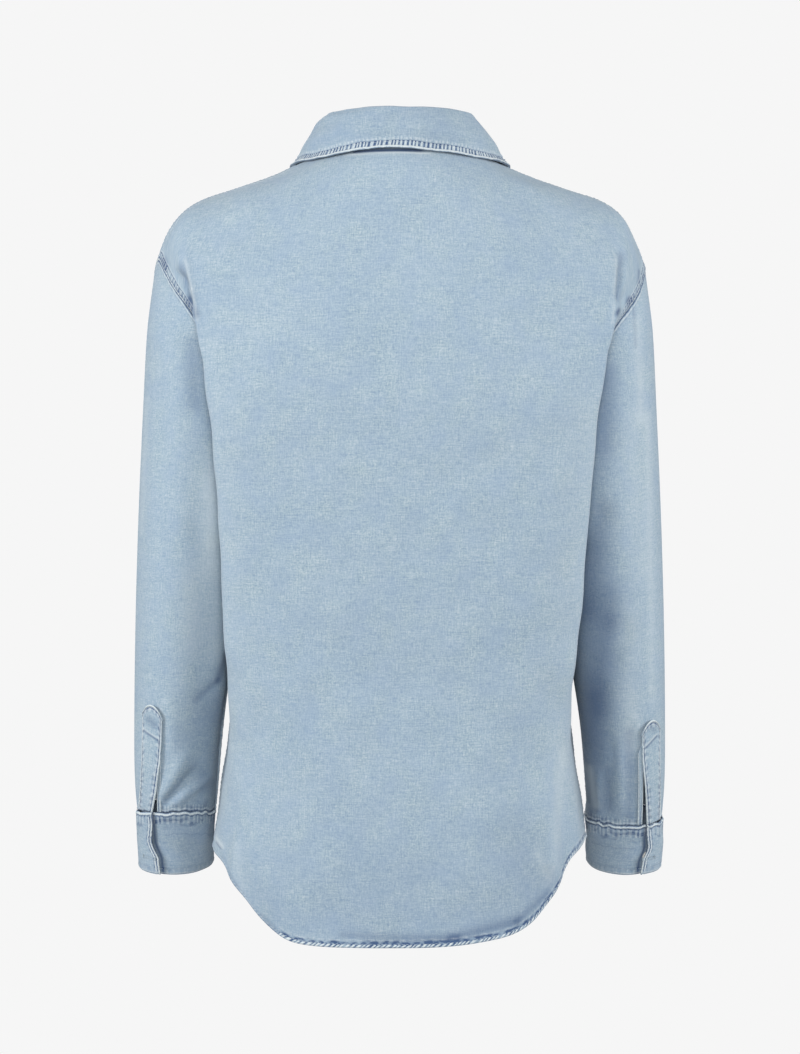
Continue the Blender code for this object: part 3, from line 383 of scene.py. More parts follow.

# Marks on the cloth: stains and wear, and also painted shade and painted highlights. Ends in x and z and half
# width in millimetres, and how dark (below 0, how pale). The fronts' lie before and all others behind.
MARK_COLUMNS = "x0 z0 x1 z1 width amount"
STAINS_AND_PAINTED_LIGHT = {
    "back": table(
        MARK_COLUMNS,
        # Darker towards the hem.
        (110, -675, -120, -675, 38, 0.13),
        (30, -696.5, -50, -694, 3.6, 0.35),
        (-45, -692.5, -102, -679.5, 5, 0.45),
        (-102, -679.5, -130, -657, 3.6, 0.3),
        (187, -134, 180, -149, 3.6, 0.85),
        (213, -95, 210.5, -101, 3, 0.9),
        # Painted shade beside the folds by the arms.
        (193.5, -106, 183.5, -133, 4.5, 0.36),
        (-195.5, -96, -191.5, -132, 4, 0.42),
        # Painted highlights along the edges of those folds.
        (190.5, -98.5, 183.8, -126, 1.5, -0.45),
        (183.8, -126, 178, -154, 1.5, -0.45),
        (-191.2, -96, -186.8, -156, 1.3, -0.4),
        # Painted shadow under the collar's edge, and a pale line below it.
        (40, -3.1, -18, -2.9, 1.3, 1.6),
        (48, -5.6, -26, -5.4, 0.9, -0.8),
        # Painted light down both sides, lifting the shade where the back turns towards the sleeves.
        (164, -230, 156, -560, 26, -0.07),
        (-164, -230, -156, -560, 26, -0.11),
        # Pale streaks near the lower corners.
        (-144, -535, -135.5, -636.3, 6, -0.2),
        (-120, -619.5, -131.4, -646, 4, -0.26),
        (144.5, -618, 140, -656, 5, -0.16),
        (50, -690, -50, -691, 3.5, 0.25),
        (-100, -600, -125, -655, 26, 0.12),
        (120, -630, -140, -630, 55, 0.05),
        (165.5, -615.5, 159, -620.5, 2.4, -0.6),
        (165, -619, 160, -623, 0.8, 0.9),
        (-205.2, -133, -204, -135.5, 2.7, 1.5),
        (-193, -144.5, -191.2, -147.5, 2.1, 0.95),
        (-215, -105, -214, -118, 1.6, 0.5),
        (30, -430, -30, -460, 50, 0.05),
        (70, -520, 20, -600, 60, 0.05),
    ),
    "front": table(MARK_COLUMNS, (100, -660, -100, -660, 30, 0.12)),
    "sleeve_left": table(
        MARK_COLUMNS,
        # Painted shade on the inner side by the torso, in the creases and low down.
        (176, -500, 183, -590, 17, 0.24),
        (184, -172.6, 182, -226, 8.5, 0.3),
        (157, -450, 164, -473.5, 3, 0.45),
        (164, -473.5, 182.5, -490.4, 2.8, 0.36),
        (159, -430, 165, -510, 9, 0.14),
        (180, -560, 174, -572, 6, 0.22),
        (215, -585, 185, -550, 3, 0.25),
        # Painted light on the inner half, lifting the shade there, and a pale streak down the outer side.
        (160, -270, 163, -450, 12, -0.26),
        (166, -290, 168, -370, 10, -0.2),
        (185, -380, 187, -440, 10, -0.2),
        (228, -220, 233, -340, 3, -0.2),
    ),
    "sleeve_right": table(
        MARK_COLUMNS,
        # Painted shade on the inner half, by the torso.
        (-156, -180, -164, -360, 12, 0.1),
        (-183, -200, -169, -410, 10, 0.26),
        (-169, -410, -174, -480, 11, 0.1),
        (-183, -320, -187, -420, 9.5, 0.2),
        (-187, -420, -181, -500, 9.5, 0.2),
        # Painted light on the outer half, and a pale streak down the outer side.
        (-206, -410, -208, -530, 10, -0.12),
        (-208, -240, -215, -380, 11, -0.13),
        (-221.5, -235, -226.5, -490, 4, -0.22),
        # More painted shade low down, on the inner half and in a crease, and two paler marks.
        (-160, -360, -170, -590, 18, 0.4),
        (-176, -490, -179, -545, 11, 0.2),
        (-206, -485, -207, -535, 8, -0.08),
        (-188, -555, -188, -590, 4.5, 0.22),
        (-188, -400, -188, -590, 15, 0.22),
        (-173, -470, -172, -530, 8, 0.12),
        (-171.5, -555, -178, -588, 3.6, -0.4),
        (-208, -595, -206, -520, 6, 0.36),
        # Narrow dark and pale streaks near the top, then painted shade on the inner side there.
        (-209, -142, -210, -175, 1.6, 0.35),
        (-211.6, -150, -214.5, -240, 4.6, -0.27),
        (-180, -170, -183, -260, 14, 0.22),
    ),
    "gauntlet_left": table(
        MARK_COLUMNS,
        (231.8, -518.5, 217.5, -526.5, 1, 0.85),
        (231.8, -516.8, 217.5, -524.8, 0.8, -0.6),
        (226, -508, 220, -513, 4, 0.4),
    ),
    "gauntlet_right": table(
        MARK_COLUMNS,
        (-220.7, -533.7, -231.4, -523.9, 1, 0.85),
        (-220.7, -532, -231.4, -522.2, 0.8, -0.6),
        (-224, -514, -229, -518, 3, 0.35),
    ),
}

# How edges are finished. Lengths are in millimetres: the rim is turned in by turn, the band raised by
# height, the ridge and the stitched groove lie that far in, and puckers run from the rim to reach.
FINISH = (
    "turn height band ridge ridge_at ridge_wide groove groove_at groove_wide pucker step slant reach"
).split()
EDGES = {
    "armhole": (0.5, 0.50, 8.2, 0.30, 0.8, 0.7, 0.35, 7.2, 0.6, 0.16, 7.0, 0.5, 8.0),
    "side": (0.5, 0.60, 7.0, 0.20, 0.8, 0.8, 0.30, 6.0, 0.6, 0.25, 8.0, 0.4, 7.5),
    "tucked": (0.9, 0.00, 0.0, 0.00, 1.0, 0.8, 0.00, 2.0, 0.6, 0.00, 8.0, 0.0, 1.0),
    "tucked_sleeve": (0.6, 0.00, 0.0, 0.35, 1.6, 0.9, 0.00, 3.4, 0.8, 0.10, 9.0, 0.0, 6.0),
    "shoulder": (0.4, 0.60, 7.0, 0.20, 0.8, 0.8, 0.30, 6.0, 0.6, 0.20, 8.0, 0.4, 7.5),
    "hem": (0.5, 0.70, 3.2, 0.20, 0.9, 0.8, 0.45, 3.1, 0.7, 0.30, 4.4, 1.2, 4.0),
    "hem_side": (0.4, 0.40, 3.0, 0.10, 0.9, 0.8, 0.20, 3.1, 0.7, 0.10, 4.4, 1.2, 4.0),
    "placket": (0.5, 0.30, 6.5, 0.15, 0.8, 0.7, 0.30, 2.2, 0.5, 0.12, 7.0, 0.2, 6.0),
    "above_cuff": (0.5, 0.00, 0.0, 0.30, 1.6, 0.8, 0.30, 2.8, 0.6, 0.20, 5.0, 0.0, 8.0),
    "cuff_seam": (1.1, 0.00, 2.4, 0.55, 1.3, 0.8, 0.45, 2.8, 0.7, 0.25, 4.6, 0.0, 12.0),
    "cuff_foot": (0.7, 0.00, 0.0, 0.15, 1.0, 0.8, 0.15, 5.5, 0.6, 0.08, 7.0, 0.0, 6.0),
    "cuff_end": (0.4, 0.10, 4.5, 0.45, 0.9, 0.6, 0.60, 2.2, 0.5, 0.15, 9.0, 0.0, 5.0),
    "gauntlet": (0.3, 0.15, 2.2, 0.50, 0.9, 0.6, 0.40, 2.2, 0.5, 0.18, 7.0, 0.3, 6.5),
    "binding": (0.3, 0.00, 0.0, 0.30, 1.0, 0.6, 0.20, 2.2, 0.5, 0.05, 7.0, 0.0, 3.0),
    "stand": (0.4, 0.20, 4.0, 0.10, 1.0, 0.8, 0.25, 3.0, 0.5, 0.10, 7.0, 0.0, 4.0),
    "collar": (0.6, 0.35, 6.4, 0.25, 1.0, 0.9, 0.40, 6.2, 0.6, 0.32, 6.0, 0.3, 7.0),
}
FINISHES = {
    edge: {name: number * (1 if name == "slant" else MM) for name, number in zip(FINISH, numbers)}
    for edge, numbers in EDGES.items()
}

# How the edges of sleeves and cuffs are finished, and the seeds of their puckers.
SLEEVE_EDGES = (
    ("foot", "tucked_sleeve", 71), ("top", "above_cuff", 77), ("first", "side", 83), ("last", "tucked", 87),
)
CUFF_EDGES = (
    ("top", "cuff_seam", 91), ("foot", "cuff_foot", 95), ("first", "cuff_end", 99), ("last", "cuff_end", 103),
)

# How worn and how blue each seam is, with painted shadow at some rims. Lengths are in millimetres
# from the edge and along it.
# wobble: how far its lines stray, and over what length.
# teeth, the puckers across the band: from, to, period, slant, how dark, how pale, how patchy.
# patches that stay blue: from, to, size, strength.
# lines along the edge: place, half width, shade (pale above 0, dark below it), how broken, period. The dark
# line at the very rim of hem_side, cuff_end and collar is painted shade along that edge.
SEAMS = {
    "armhole": {
        "wobble": (0.3, 14),
        "teeth": (2.6, 7.2, 4.6, 0.2, 0.35, 0.45, 0.6),
        "patches": (1.6, 7.6, 14, 0.45),
        "lines": [
            (0.9, 0.8, 1.4, 0.1, 6),
            (2.5, 0.6, -1.2, 0.25, 6),
            (7.4, 0.55, -1.3, 0.3, 4),
            (8.6, 0.7, 0.45, 0.2, 9),
        ],
    },
    "side": {
        "wobble": (0.3, 14),
        "teeth": (2.2, 6.4, 5.2, 0.2, 0.3, 0.3, 0.6),
        "patches": (1.6, 7.2, 16, 0.4),
        "lines": [(1, 0.7, 0.8, 0.1, 6), (2.4, 0.55, -0.6, 0.3, 5), (6.4, 0.55, -0.4, 0.3, 4)],
    },
    "tucked_sleeve": {
        "wobble": (0.25, 12),
        "teeth": (1, 5, 6.4, 0, 0.12, 0.12, 0.6),
        "patches": (0, 6, 14, 0.25),
        "lines": [(0.6, 0.9, -0.95, 0.1, 5), (2.6, 0.8, 0.55, 0.2, 8), (4.2, 0.6, -0.25, 0.4, 6)],
    },
    "shoulder": {
        "wobble": (0.3, 14),
        "teeth": (2.2, 6.4, 5.2, 0.2, 0.3, 0.3, 0.6),
        "patches": (1.6, 7.2, 16, 0.3),
        "lines": [(1, 0.7, 0.8, 0.1, 6), (2.4, 0.55, -0.6, 0.3, 5), (6.4, 0.55, -0.4, 0.3, 4)],
    },
    "hem": {
        "wobble": (0.3, 16),
        "teeth": (0.3, 2.8, 4.4, 1.2, 0.85, 1, 0.75),
        "patches": (2.2, 7.5, 9, 0.9),
        "lines": [
            (0.1, 0.45, -0.6, 0.5, 7),
            (3.2, 0.55, -0.95, 0.8, 3.3),
            (4.4, 0.75, -0.8, 1, 9),
            (6.6, 0.9, 0.28, 0.6, 9),
        ],
    },
    "hem_side": {
        "wobble": (0.2, 16),
        "teeth": (0.4, 2.8, 4.4, 1.3, 0.18, 0.14, 0.6),
        "patches": (0, 8, 30, 0.2),
        # The dark line at the rim is painted shade where the hem turns away.
        "lines": [(0.1, 0.7, -1.1, 0.5, 7), (3.2, 0.45, -0.3, 0.8, 4.4)],
    },
    "placket": {
        "wobble": (0.25, 14),
        "teeth": (2, 6, 5, 0.2, 0.25, 0.25, 0.6),
        "patches": (1.6, 7.2, 16, 0.25),
        "lines": [(0.9, 0.7, 0.85, 0.1, 6), (2.3, 0.55, -0.65, 0.4, 4.2)],
    },
    "above_cuff": {
        "wobble": (0.3, 9),
        "teeth": (0.6, 7, 3.9, 0, 0.22, 0.2, 0.6),
        "patches": (0, 14, 14, 0.35),
        "lines": [(0.8, 0.8, -1.1, 0.6, 3.9), (2.6, 0.7, 0.45, 0.4, 3.9)],
    },
    "cuff_seam": {
        "wobble": (0.45, 9),
        "teeth": (3.4, 11.5, 5, 0, 0.38, 0.26, 0.95),
        "patches": (5, 17, 11, 0.5),
        "lines": [
            (0.1, 0.45, -1.1, 0.4, 4.3),
            (1.5, 0.8, 1.45, 0.25, 6),
            (3.3, 0.75, -1.4, 0.65, 5),
            (22, 0.6, -0.3, 0.6, 3.9),
        ],
    },
    "cuff_foot": {
        "wobble": (0.2, 14),
        "teeth": (1.5, 6, 6, 0, 0.1, 0.1, 0.6),
        "patches": (0, 10, 16, 0.2),
        "lines": [(0.4, 0.5, -0.35, 0.2, 6), (1.4, 0.65, 0.5, 0.2, 6), (6, 0.5, -0.2, 0.6, 3.9)],
    },
    "cuff_end": {
        "wobble": (0.55, 10),
        "teeth": (4, 7, 7, 0, 0.15, 0.15, 0.6),
        "patches": (0, 7, 14, 0.25),
        "lines": [
            # The dark line at the rim is painted shadow beside the end's edge.
            (0, 0.5, -1.3, 0.1, 6),
            (1.1, 0.75, 1.6, 0.05, 6),
            (2.6, 0.65, -1.4, 0.1, 6),
            (4, 0.65, 1, 0.2, 6),
            (5.5, 0.6, -0.6, 0.4, 4),
        ],
    },
    "gauntlet": {
        "wobble": (0.25, 10),
        "teeth": (2.6, 6.6, 6.2, 0.1, 0.34, 0.24, 0.6),
        "patches": (1.6, 8, 12, 0.5),
        "lines": [(1.1, 0.95, 1.5, 0.05, 6), (2.9, 0.75, -1.3, 0.2, 5), (4.2, 0.6, 0.45, 0.2, 5)],
    },
    "binding": {
        "wobble": (0.15, 10),
        "teeth": (1, 3, 6, 0, 0.05, 0.05, 0.6),
        "patches": (0, 3, 14, 0.25),
        "lines": [(0.8, 0.6, 1, 0.05, 6), (1.9, 0.45, -0.6, 0.1, 6)],
    },
    "stand": {
        "wobble": (0.2, 12),
        "teeth": (1, 5, 5, 0, 0.2, 0.2, 0.6),
        "patches": (0, 6, 16, 0.25),
        "lines": [(0.9, 0.6, 0.6, 0.1, 6), (3, 0.5, -0.45, 0.5, 3.9)],
    },
    "collar": {
        "wobble": (0.3, 12),
        "teeth": (2.5, 7.3, 3.8, 0.15, 0.95, 0.75, 0.3),
        "patches": (2, 10, 20, 0.25),
        "lines": [
            # The dark line at the rim is painted shadow under the collar's edge.
            (0, 0.4, -0.6, 0.1, 6),
            (1.3, 0.8, 1.6, 0.05, 6),
            (3, 0.5, -0.45, 0.4, 3.9),
            (7.1, 0.65, -1.05, 0.35, 3.9),
            (9.3, 1.4, 0.5, 0.9, 3.9),
        ],
    },
}

# Where stitches run, away from an edge.
FELLED = (0.0016, 0.0060)
HEMMED = (0.0034,)
TOPSTITCHED = (0.0022,)
CUFF_STITCHED = (0.0026,)
CUFF_FOOT_STITCHED = (0.0055,)
BOUND = (0.0016,)
STAND_STITCHED = (0.0030,)
LEAF_STITCHED = (0.0062,)

STITCH_STEP = 0.0036
STITCH_LENGTH = 0.0028
STITCH_RADIUS = 0.00026
STITCH_SIDES = 5
STITCH_RINGS = ((-0.5, 0, -0.7), (-0.34, 0.85, -0.2), (0, 1, 0.1), (0.34, 0.85, -0.2), (0.5, 0, -0.7))
BUTTON_CLEAR = 0.0006
BUTTON_SIDES = 72
BUTTON_RIM = [  # shares of its radius and thickness, from the middle of the underside over the rim
    (0.00, 0.00), (0.55, 0.00), (0.82, 0.02), (0.93, 0.12), (0.985, 0.30), (1.00, 0.52), (0.985, 0.74),
    (0.94, 0.92), (0.87, 1.00), (0.79, 0.97), (0.72, 0.86), (0.64, 0.76), (0.56, 0.72),
]
BUTTON_DISH = 0.70  # the height of its dished face, as a share of its thickness
TUBE_SIDES = 7
HOLE_AT = 0.00092  # each hole in a button, both ways from its centre
HOLE_RADIUS = 0.00058
HOLE_DEPTH = 0.85  # of the button's thickness there
THREAD_RADIUS = 0.00020
THREAD_ASIDE = 0.00017  # of each of the two threads beside each other
HOLE_HALF = 0.0010  # half width of a buttonhole
HOLE_LENGTH = 0.0145
HOLE_ASIDE = 0.0015  # from the button's middle to the buttonhole's
HEIGHT_TRIES = 6  # steps that bring a front button to its height
HOLE_THREAD = 0.00036  # radius of the thread round a buttonhole, and of the bars at its ends
HOLE_BAR = 0.00040

# The look of the cloth. Each noise: how many features for each metre across and up, detail, roughness and
# strength, which is about ten times its spread.
WEAVE = {
    "warp": (1100, 150, 2, 0.6, 0.75),
    "weft": (150, 1100, 2, 0.6, 0.75),
    "speck": (620, 620, 2, 0.6, 0.75),
    "cloud": (75, 115, 3, 0.6, 0.19),
    "broad": (14, 18, 2, 0.5, 0.20),
    "slub": (35, 520, 2, 0.6, 0.36),
    "streak": (520, 35, 2, 0.6, 0.26),
}
BLUE = (42, 38, 3, 0.55, 0.9)
TWILL = 1400.0  # ribs for each metre
TWILL_SLANT = math.radians(62)
DEEP_SHARE = 0.9  # how much of the way to its colour a full darkening goes, for stains and painted shade, and a full paling, for wear and painted light
PALE_SHARE = 0.85
SEAM_HEIGHT = 1.5  # of a seam's lines beside the weave's
ALBEDO = 0.685  # the light is brighter than one, so the cloth's own colour is darker than it shows

# The studio.
SENSOR = 36.0
CAMERA_FAR = 2.40
CAMERA_Z = -0.33553
BACK_Y = 0.05  # where the view is VIEW_WIDTH wide
VIEW_WIDTH = 0.712
BACKDROP = (0.922, 0.922, 0.922)
AMBIENT = (0.35, 0.365, 0.375)
FLOOR_Z = -0.95
FLOOR_RADIUS = 1.2
FLOOR_SIDES = 64
LIGHTS_AIM = (0, 0, -0.33)
LIGHTS = [  # name, place, diameter, watts
    ("front", (0.0, 3.0, -0.2), 1.2, 31.0),
    ("above", (0.0, 2.6, 1.6), 1.2, 28.0),
    ("left", (2.6, 1.2, 0.2), 1.2, 60.0),
    ("right", (-2.6, 1.2, 0.2), 1.2, 35.0),
    ("right_side", (-2.8, 0.0, 0.2), 1.2, 18.0),
    ("chest", (0.4, -2.8, 0.6), 1.4, 70.0),
]


# Splines.


def spline_weights(knots, at):
    """Weights, one column for each knot, of the natural cubic spline through values at the knots."""
    count = len(knots)
    step = np.diff(knots)
    bend = np.eye(count)
    value = np.zeros((count, count))
    for i in range(1, count - 1):
        bend[i, i - 1 : i + 2] = step[i - 1], 2 * (step[i - 1] + step[i]), step[i]
        value[i, i - 1 : i + 2] = 6 / step[i - 1], -6 / step[i - 1] - 6 / step[i], 6 / step[i]
    second = np.linalg.solve(bend, value)
    at = np.asarray(at, float)
    low = np.clip(np.searchsorted(knots, at) - 1, 0, count - 2)
    width = step[low]
    b = (at - knots[low]) / width
    a = 1 - b
    unit = np.eye(count)
    square = (width**2 / 6)[..., None]
    return (
        a[..., None] * unit[low]
        + b[..., None] * unit[low + 1]
        + ((a**3 - a)[..., None] * second[low] + (b**3 - b)[..., None] * second[low + 1]) * square
    )


def read(rows, key, columns, at):
    """The named columns of a table, read at the numbers given along its key column."""
    values = np.stack([rows[name] for name in columns.split()], axis=-1)
    return spline_weights(rows[key], at) @ values


def rise(x, start=0.0, end=1.0):
    """0 before start, 1 past end, and a smooth rise between them. It falls where end is the lower one."""
    x = np.clip((x - start) / (end - start), 0, 1)
    return x * x * (3 - 2 * x)


def bump_at(distance, place, width):
    """A bell of height 1 at a place."""
    return np.exp(-(((distance - place) / width) ** 2))


def round_turn(count):
    """Evenly spaced angles all the way round."""
    return 2 * np.pi * np.arange(count) / count


def unit(vectors):
    """The vectors at length 1."""
    return vectors / np.maximum(np.linalg.norm(vectors, axis=-1, keepdims=True), 1e-12)


# The torso's surface: u runs across from -1 to 1, and q up it: 0 at the underarm, 1 at the shoulder seam.


def height_to_q(z):
    """How far up the torso a height is."""
    return (z - UNDERARM_Z) / SPLINE_STEP


def armhole(turn, back):
    """The armhole's edge on the wearer's left; turn is 0 at the underarm and 1 at the shoulder."""
    angle = np.pi * np.asarray(turn, float)[..., None]
    along = (1 - np.cos(angle)) / 2
    point = ARMHOLE_FOOT + (ARMHOLE_TOP - ARMHOLE_FOOT) * along
    side = 1 if back else -1
    bow = np.array([-ARMHOLE_BOW, side * ARMHOLE_HALF_WIDTH, 0])
    return point + np.sin(angle) * bow


def armhole_shift(side, degrees):
    """How far down the sleeve its seam is, past the armhole's own oval."""
    degrees = np.clip(degrees, 0, 180)
    return read(ARMHOLE_SEEN, "degrees", "left" if side > 0 else "right", degrees)[..., 0]


def panel_edge(q, back):
    """The panel's left edge: the side seam below the underarm and the armhole above it."""
    z = UNDERARM_Z + SPLINE_STEP * np.minimum(q, 0)
    side = read(BACK_TORSO, "z", "side_x side_y", z)
    seam = np.concatenate([side, z[..., None]], axis=-1)
    return np.where((q > 0)[..., None], armhole(np.clip(q, 0, 1), back), seam)


def panel_columns(back):
    """Control points of half a panel: (rows, centre to tuck, xyz), with the rows' places along q."""
    z = BACK_TORSO["z"]
    low = dict(BACK_TORSO if back else FRONT_TORSO)
    low |= {"centre_x": 0 * z, "mid_x": MID_SHARE * low["ridge_x"]} | {f"{name}_z": z for name in COLUMNS}
    high = dict(BACK_SHOULDER if back else FRONT_SHOULDER)
    high["centre_x"] = 0 * high["turn"]
    points = [
        np.stack([np.stack([rows[f"{name}_{axis}"] for axis in "xyz"], -1) for name in COLUMNS], axis=1)
        for rows in (low, high)
    ]
    return np.concatenate([height_to_q(z), high["turn"]]), np.concatenate(points)


COLUMNS = ("centre", "mid", "ridge", "tuck")
CONTROL = {back: panel_columns(back) for back in (True, False)}
FLIP = {side: np.array([side, 1.0, 1.0]) for side in (1, -1)}  # from the wearer's left to either side
UPRIGHT = np.array([0.0, 0.0, 1.0])
ACROSS_BOTH = np.concatenate([-ACROSS[:0:-1], ACROSS])


def torso(u, q, back):
    """Points of the back or the front at u across and q up, which are arrays of one shape."""
    places, control = CONTROL[back]
    up = spline_weights(places, q)
    half = [up @ control[:, k] for k in range(len(COLUMNS))] + [panel_edge(q, back)]
    shift = rise(q, -1.1, -0.3) * rise(q, 1.0, 0.7) * back
    aside = [np.stack([share * shift, 0 * q, 0 * q], -1) for share in RIDGE_SHIFT_SHARES]
    left = [point + RIDGE_SHIFT[1] * move for point, move in zip(half, aside)]
    right = [(point + RIDGE_SHIFT[-1] * move) * FLIP[-1] for point, move in zip(half, aside)]
    both = right[:0:-1] + left
    across = spline_weights(ACROSS_BOTH, u)
    return sum(across[..., k, None] * point for k, point in enumerate(both))


def grid_faces(shape, start=0, flip=False):
    """Faces of a grid of points, whose first point is number start."""
    rows, columns = shape
    first = [start + i * columns + j for i in range(rows - 1) for j in range(columns - 1)]
    faces = [(k, k + 1, k + columns + 1, k + columns) for k in first]
    return [face[::-1] for face in faces] if flip else faces


def ring_faces(rings, sides, closed=False):
    """Faces between rings of points, each with that many sides; closed joins the last ring to the first."""
    ring = np.arange(rings if closed else rings - 1)[:, None] * sides
    above = (ring + sides) % (rings * sides)
    k, after = np.arange(sides), (np.arange(sides) + 1) % sides
    return np.stack([ring + k, above + k, above + after, ring + after], axis=-1).reshape(-1, 4)


def sleeve_tree():
    """The wearer's left sleeve, for the torso to give way to."""
    along, degrees = np.meshgrid(np.linspace(0, 1, 64), np.linspace(0, 360, 73), indexing="ij")
    points = sleeve_ring(along, degrees)
    return BVHTree.FromPolygons([tuple(point) for point in points.reshape(-1, 3)], grid_faces(along.shape))


def give_way(points, u, q):
    """Moves the torso's sides in where they would be inside the sleeves."""
    moved = points.copy()
    near = (np.abs(u) > 0.5) & (q < 0.75) & (points[..., 2] > SLEEVE["out_z"][-1])
    well_inside = 0.10  # x from which the nearest sleeve is looked for
    clear = SLEEVE_CLEAR * rise(np.where(q > 0, 1 - np.abs(u), 1.0), 0, 0.04)
    for place in zip(*np.nonzero(near)):
        x, y, z = points[place]
        hit = SLEEVE_TREE.ray_cast((well_inside, y, z), (1, 0, 0))[0]
        if hit is not None:
            limit = hit.x - clear[place]
            moved[place][0] = math.copysign(soft_least(abs(x), limit), x)
    return moved


def soft_least(a, b):
    """The smaller of two numbers, rounded where they cross."""
    round_over = 0.004
    blend = max(round_over - abs(a - b), 0) / round_over
    return min(a, b) - blend * blend * round_over / 4


def fold_lift(name, u, z):
    """How far the large folds push a panel out."""
    lift = np.zeros_like(u)
    for across, low, high, width, depth in zip(*FOLDS[name].values()):
        length = rise(z, low - 0.04, low + 0.04) * rise(z, high, high - 0.12)
        lift += depth * length * bump_at(u, across, width / 2)
    return lift


def q_at_hem(u, back):
    """How far up the hem is, at u across the panel."""
    side = 0 if back else q_at_hem(np.where(u >= 0, 1.0, -1.0), True)
    share = 1 if back else FRONT_HEM_SHARE
    q = np.full_like(u, -1.5)
    for _ in range(12):
        x = torso(u, q, back)[..., 0]
        heights = read(HEM, "x", "left right", np.abs(x))
        level = height_to_q(np.where(x >= 0, heights[..., 0], heights[..., 1]))
        q = side + (level - side) * share
    return q


def find(x, y, back):
    """The (u, q) of the torso's points above (x, y), near the neck."""
    u, q = x / 0.29, np.full_like(x, 0.9)  # a first guess
    step = 1e-4
    share = 0.8  # of the way to the next guess
    for _ in range(20):
        here = torso(u, q, back)[..., :2]
        along_u = (torso(u + step, q, back)[..., :2] - here) / step
        along_q = (torso(u, q - step, back)[..., :2] - here) / -step
        miss = np.stack([x, y], -1) - here
        area = along_u[..., 0] * along_q[..., 1] - along_u[..., 1] * along_q[..., 0]
        du = (miss[..., 0] * along_q[..., 1] - miss[..., 1] * along_q[..., 0]) / area
        dq = (along_u[..., 0] * miss[..., 1] - along_u[..., 1] * miss[..., 0]) / area
        u, q = u + share * du, np.minimum(q + share * dq, 1.0)
    return u, q


def neck_plan(degrees, inset):
    """Points in plan round the neck from the centre back; inset is how far inside the neck seam."""
    angle = np.radians(degrees)
    depth = np.where(np.cos(angle) > 0, NECK_BACK, NECK_FRONT)
    x = (NECK_HALF_WIDTH - inset) * np.sin(angle)
    y = NECK_CENTRE_Y + (depth - inset) * np.cos(angle)
    return x, y


def u_at_x(x, q, back):
    """Where across a panel it passes x, near the centre line; x and q are arrays of one shape."""
    u = x / 0.27
    for _ in range(8):
        at = torso(u, q, back)[..., 0]
        u = u * np.divide(x, at, out=np.ones_like(at), where=np.abs(at) > 1e-9)
    return u


def sleeve_ring(along, degrees):
    """Points of the wearer's left sleeve; degrees run from its outer side towards the back."""
    ring = read(SLEEVE, "along", "out_x out_z in_x in_z mid_y half_y dip", along)
    out_x, out_z, in_x, in_z, mid_y, half_y, dip = np.moveaxis(ring, -1, 0)
    angle = np.radians(degrees)
    across = (1 + np.cos(angle)) / 2
    x = in_x + (out_x - in_x) * across
    z = in_z + (out_z - in_z) * across - dip * np.sin(angle)
    at_armhole = rise(along, 0.12, 0)
    bow = ARMHOLE_BOW * np.abs(np.sin(angle)) * at_armhole
    seam_y = ARMHOLE_FOOT[1] + (ARMHOLE_TOP[1] - ARMHOLE_FOOT[1]) * across
    y = half_y * np.sin(angle) + mid_y + (seam_y - mid_y) * at_armhole
    return np.stack([x - bow, y, z], -1)


def slit_edges(along):
    """Degrees round the sleeve of the slit's two edges."""
    edges = read(SLIT, "along", "from_degrees to_degrees", np.maximum(along, SLIT["along"][0]))
    return edges[..., 0], edges[..., 1]


def wrist(side, degrees, down, out):
    """Points round the cuff: down it from 0 to 1, and moved out from the sleeve's surface."""
    along = 1 + (CUFF_FOOT - 1) * down
    points = sleeve_ring(along, degrees)
    angle = np.radians(degrees)
    radial = np.stack([np.cos(angle), np.sin(angle), 0 * angle], -1)
    points = points + radial * out[..., None]
    points[..., 2] -= GAP * (1 - down)
    return points * FLIP[side]


SLEEVE_TREE = sleeve_tree()


# Grids.


def spread(length, fine_first, fine_last, step=STEP):
    """Shares from 0 to 1 of a length, closer together near the ends that have a seam."""
    low = FINE_ZONE if fine_first else 0.0
    high = length - FINE_ZONE if fine_last else length
    places = [np.linspace(low, high, max(round((high - low) / step), 2) + 1)]
    if fine_first:
        places.insert(0, np.linspace(0, low, round(low / FINE_STEP) + 1)[:-1])
    if fine_last:
        places.append(np.linspace(high, length, round((length - high) / FINE_STEP) + 1)[1:])
    return np.concatenate(places) / length


def run(points, axis):
    """Lengths along the grid's lines, from their first point."""
    steps = np.linalg.norm(np.diff(points, axis=axis), axis=-1)
    start = np.zeros_like(steps[:1] if axis == 0 else steps[:, :1])
    return np.concatenate([start, np.cumsum(steps, axis=axis)], axis=axis)


def wander(at, step, seed):
    """A smooth random curve between -1 and 1, with its bends about one step apart."""
    knots = np.random.default_rng(seed).uniform(-1, 1, 4096)
    place = np.asarray(at, float) / step + 1000.0
    low = np.floor(place).astype(int)
    share = rise(place - low)
    return knots[low % 4096] * (1 - share) + knots[(low + 1) % 4096] * share


def swell(points, height, length, seed, waves=14):
    """A smooth random field of about that height, with swells about that length across."""
    random = np.random.default_rng(seed)
    total = np.zeros(points.shape[:-1])
    for _ in range(waves):
        way = unit(random.normal(size=3))
        turns = 2 * np.pi / length * random.uniform(0.7, 1.4)
        total += np.sin(points @ way * turns + random.uniform(0, 6.3))
    return height * total / math.sqrt(waves / 2)


